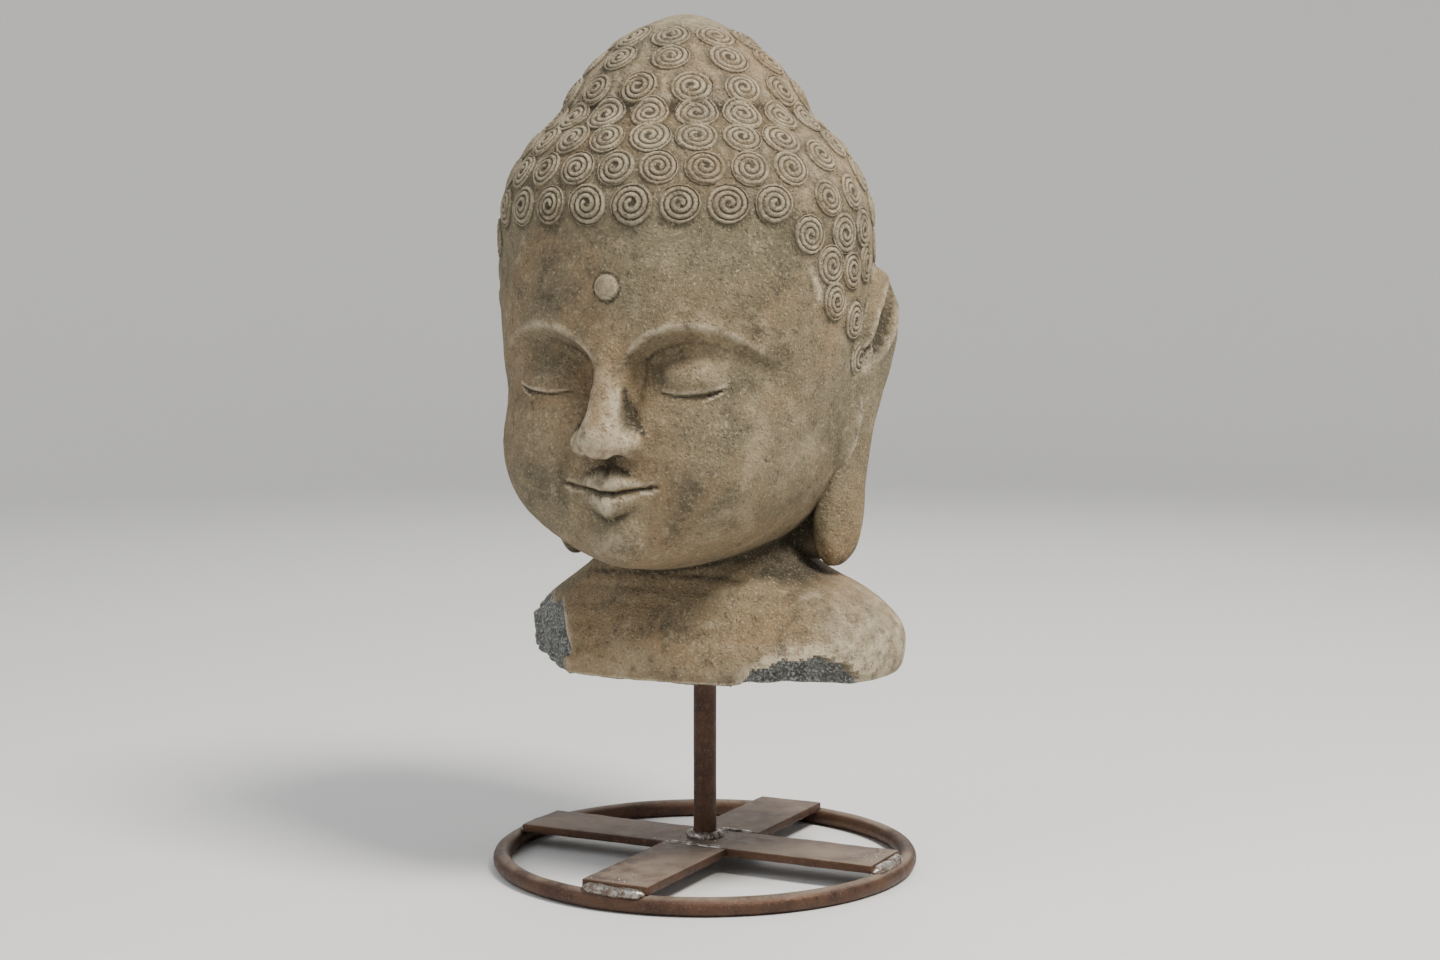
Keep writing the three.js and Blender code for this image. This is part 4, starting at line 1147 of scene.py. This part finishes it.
def studio_material():
    """Pale plain paper."""
    g = Graph("pale_paper")
    g.feed(g.surface.inputs["Base Color"], (0.72, 0.72, 0.715, 1.0))
    g.feed(g.surface.inputs["Roughness"], 0.9)
    return g.material


def finish_piece(piece, material, slot, *nodes):
    """Gives a piece its material, hangs it on the part and hides the model's parts that it takes the place of."""
    piece.data.materials.append(material)
    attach(piece, "root")
    for node in nodes:
        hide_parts(node)


def material(name, make):
    """The material of that name, made the first time that it is asked for."""
    return bpy.data.materials.get(name) or make()


# ------------------------------------------------------------------ settings and operators
class StoneSettings(bpy.types.PropertyGroup):
    """How the stone is carved and worn."""

    columns: bpy.props.IntProperty(name="Columns", description="Grid columns round the stone", default=340)
    rows: bpy.props.IntProperty(name="Rows", description="Grid rows down the stone", default=276)
    roughness: bpy.props.FloatProperty(
        name="Roughness", description="Share of the full unevenness", default=0.75, subtype="FACTOR")
    curl_radius: bpy.props.FloatProperty(
        name="Curl Radius", description="Radius of a snail curl", default=0.0124, unit="LENGTH", precision=4)
    curl_dome: bpy.props.FloatProperty(
        name="Curl Height", description="Height of a curl's middle", default=0.0022, unit="LENGTH", precision=4)
    groove_depth: bpy.props.FloatProperty(
        name="Groove Depth", description="Depth of the spiral groove", default=0.0015, unit="LENGTH", precision=4)


class StageSettings(bpy.types.PropertyGroup):
    """Light and camera."""

    turn: bpy.props.FloatProperty(
        name="Camera Turn", description="Turn from the front", default=math.radians(26.5), subtype="ANGLE")
    distance: bpy.props.FloatProperty(
        name="Camera Distance", description="Level distance from the post", default=1.436, unit="LENGTH")
    aside: bpy.props.FloatProperty(
        name="Camera Aside", description="Shift to the camera's right", default=0.00925, unit="LENGTH", precision=5)
    height: bpy.props.FloatProperty(
        name="Camera Height", description="Height over the floor", default=0.3635, unit="LENGTH", precision=4)
    pitch: bpy.props.FloatProperty(
        name="Camera Pitch", description="Tilt down from level", default=math.radians(5.06), subtype="ANGLE")
    lens: bpy.props.FloatProperty(name="Lens", description="Focal length in millimetres", default=59.25)
    key_power: bpy.props.FloatProperty(name="Key Power", description="Main lamp", default=75.0, unit="POWER")
    fill_power: bpy.props.FloatProperty(name="Fill Power", description="Soft lamp", default=12.0, unit="POWER")
    ambient: bpy.props.FloatProperty(name="Ambient", description="Strength of the light all round", default=0.6)


class BUDDHA_OT_stone(bpy.types.Operator):
    """Carve the head, neck and shoulders with both ears"""

    bl_idname = "buddha.stone"
    bl_label = "Carved Stone"

    def execute(self, context):
        settings = context.scene.buddha_stone
        look = material("old_carved_stone", stone_material)
        for piece in [carved_stone(settings), *long_ears(settings)]:
            finish_piece(piece, look, "stone", "stone_head")
        return {"FINISHED"}


class BUDDHA_OT_curls(bpy.types.Operator):
    """Lay the snail curls over the hair"""

    bl_idname = "buddha.curls"
    bl_label = "Snail Curls"

    def execute(self, context):
        look = material("old_carved_stone", stone_material)
        finish_piece(snail_curls(context.scene.buddha_stone), look, "stone", "stone_head")
        return {"FINISHED"}


class BUDDHA_OT_stand(bpy.types.Operator):
    """Make the ring, the cross of flats and the post"""

    bl_idname = "buddha.stand"
    bl_label = "Iron Stand"

    def execute(self, context):
        look = material("rusty_iron", iron_material)
        middle = FLAT_BOTTOM + FLAT_THICK / 2
        front, back = LONG_MIDDLE - FLAT_WIDTH / 2 - 0.3, LONG_MIDDLE + FLAT_WIDTH / 2 + 0.3
        pieces = {
            "foot_ring": ring_of_bar(),
            "foot_long_bar": flat_bar("long_flat", (LONG_FROM, LONG_MIDDLE, middle), (LONG_TO, LONG_MIDDLE, middle), 71),
            "foot_short_bar_front": flat_bar(
                "front_flat", (SHORT_MIDDLE, SHORT_FRONT, middle), (SHORT_MIDDLE, front, middle), 75),
            "foot_short_bar_back": flat_bar(
                "back_flat", (SHORT_MIDDLE, back, middle), (SHORT_MIDDLE, SHORT_BACK, middle), 79),
            "stand_post": round_post(),
        }
        for node, piece in pieces.items():
            finish_piece(piece, look, "iron", node)
        return {"FINISHED"}


class BUDDHA_OT_welds(bpy.types.Operator):
    """Lay the weld beads and their spatter on the stand"""

    bl_idname = "buddha.welds"
    bl_label = "Welds"

    def execute(self, context):
        look = material("weld_metal", weld_material)
        for piece in [*weld_beads(), weld_spatter()]:
            finish_piece(piece, look, "iron")
        return {"FINISHED"}


def lamp(name, place, target, power, size, colour):
    """A soft square lamp at a place, turned to its target."""
    data = bpy.data.lights.new(name, "AREA")
    data.energy, data.size, data.color = power, size, colour
    made = bpy.data.objects.new(name, data)
    bpy.context.scene.collection.objects.link(made)
    away = np.subtract(place, target)
    flat = math.hypot(away[0], away[1])
    made.location = place
    made.rotation_euler = (math.atan2(flat, away[2]), 0, math.atan2(away[0], -away[1]))


class BUDDHA_OT_stage(bpy.types.Operator):
    """Set the floor, the light and the camera"""

    bl_idname = "buddha.stage"
    bl_label = "Studio"

    def execute(self, context):
        stage = context.scene.buddha_stage
        angle = np.linspace(0, math.pi / 2, 12)
        radius = np.concatenate([[0, 0.8, 1.6, 2.4], 2.6 + 0.9 * np.sin(angle), [3.5]])
        height = np.concatenate([[0, 0, 0, 0], 0.9 - 0.9 * np.cos(angle), [4.2]])
        turn = np.linspace(0, 2 * math.pi, 96, endpoint=False)
        grid = np.stack(np.broadcast_arrays(
            radius[:, None] * np.sin(turn), -radius[:, None] * np.cos(turn), height[:, None]), -1)
        points = np.concatenate([grid[0, :1], grid[1:].reshape(-1, 3)]) * 1000 - np.array([0, POST_Y, 0])
        index = 1 + np.arange((len(radius) - 1) * 96).reshape(-1, 96)
        right = np.roll(index, -1, 1)
        quads = np.stack([index[:-1], index[1:], right[1:], right[:-1]], -1).reshape(-1, 4)
        centre = np.stack([0 * index[0], index[0], right[0]], -1)
        floor = mesh_object("studio_floor", points, quads, centre)
        floor.data.materials.append(material("pale_paper", studio_material))
        world = bpy.data.worlds.new("studio_light")
        context.scene.world = world
        world.use_nodes = True
        background = world.node_tree.nodes["Background"]
        background.inputs["Color"].default_value = (0.93, 0.96, 1.0, 1.0)
        background.inputs["Strength"].default_value = stage.ambient
        middle = (0, 0, 0.3)
        lamp("key_lamp", (1.15, -0.35, 1.95), middle, stage.key_power, 0.6, (1.0, 0.95, 0.87))
        lamp("fill_lamp", (-1.0, -1.6, 1.5), middle, stage.fill_power, 1.2, (0.93, 0.96, 1.0))
        lamp("back_lamp", (-0.5, 1.6, 1.5), middle, stage.fill_power, 1.2, (1.0, 0.98, 0.95))
        data = bpy.data.cameras.new("camera")
        data.lens = stage.lens
        data.sensor_width = 36
        camera = bpy.data.objects.new("camera", data)
        context.scene.collection.objects.link(camera)
        sin, cos = math.sin(stage.turn), math.cos(stage.turn)
        camera.location = (
            sin * stage.distance + cos * stage.aside,
            -cos * stage.distance + sin * stage.aside + POST_Y * 0.001,
            stage.height,
        )
        camera.rotation_euler = (math.pi / 2 - stage.pitch, 0, stage.turn)
        context.scene.camera = camera
        return {"FINISHED"}


class BUDDHA_PT_panel(bpy.types.Panel):
    """The pieces in the order that they are made in"""

    bl_label = "Buddha Head"
    bl_idname = "BUDDHA_PT_panel"
    bl_space_type = "VIEW_3D"
    bl_region_type = "UI"
    bl_category = "Buddha Head"

    def draw(self, context):
        for group in (context.scene.buddha_stone, context.scene.buddha_stage):
            box = self.layout.box()
            for key in group.__annotations__:
                box.prop(group, key)
        for operator in OPERATORS:
            self.layout.operator(operator.bl_idname)


OPERATORS = (BUDDHA_OT_stone, BUDDHA_OT_curls, BUDDHA_OT_stand, BUDDHA_OT_welds, BUDDHA_OT_stage)
CLASSES = (StoneSettings, StageSettings, *OPERATORS, BUDDHA_PT_panel)


def register():
    for cls in CLASSES:
        bpy.utils.register_class(cls)
    bpy.types.Scene.buddha_stone = bpy.props.PointerProperty(type=StoneSettings)
    bpy.types.Scene.buddha_stage = bpy.props.PointerProperty(type=StageSettings)


def unregister():
    del bpy.types.Scene.buddha_stage
    del bpy.types.Scene.buddha_stone
    for cls in reversed(CLASSES):
        bpy.utils.unregister_class(cls)


def main():
    """Registers the add-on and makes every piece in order."""
    register()
    bpy.ops.buddha.stone()
    bpy.ops.buddha.curls()
    bpy.ops.buddha.stand()
    bpy.ops.buddha.welds()
    bpy.ops.buddha.stage()


if __name__ == "__main__":
    main()
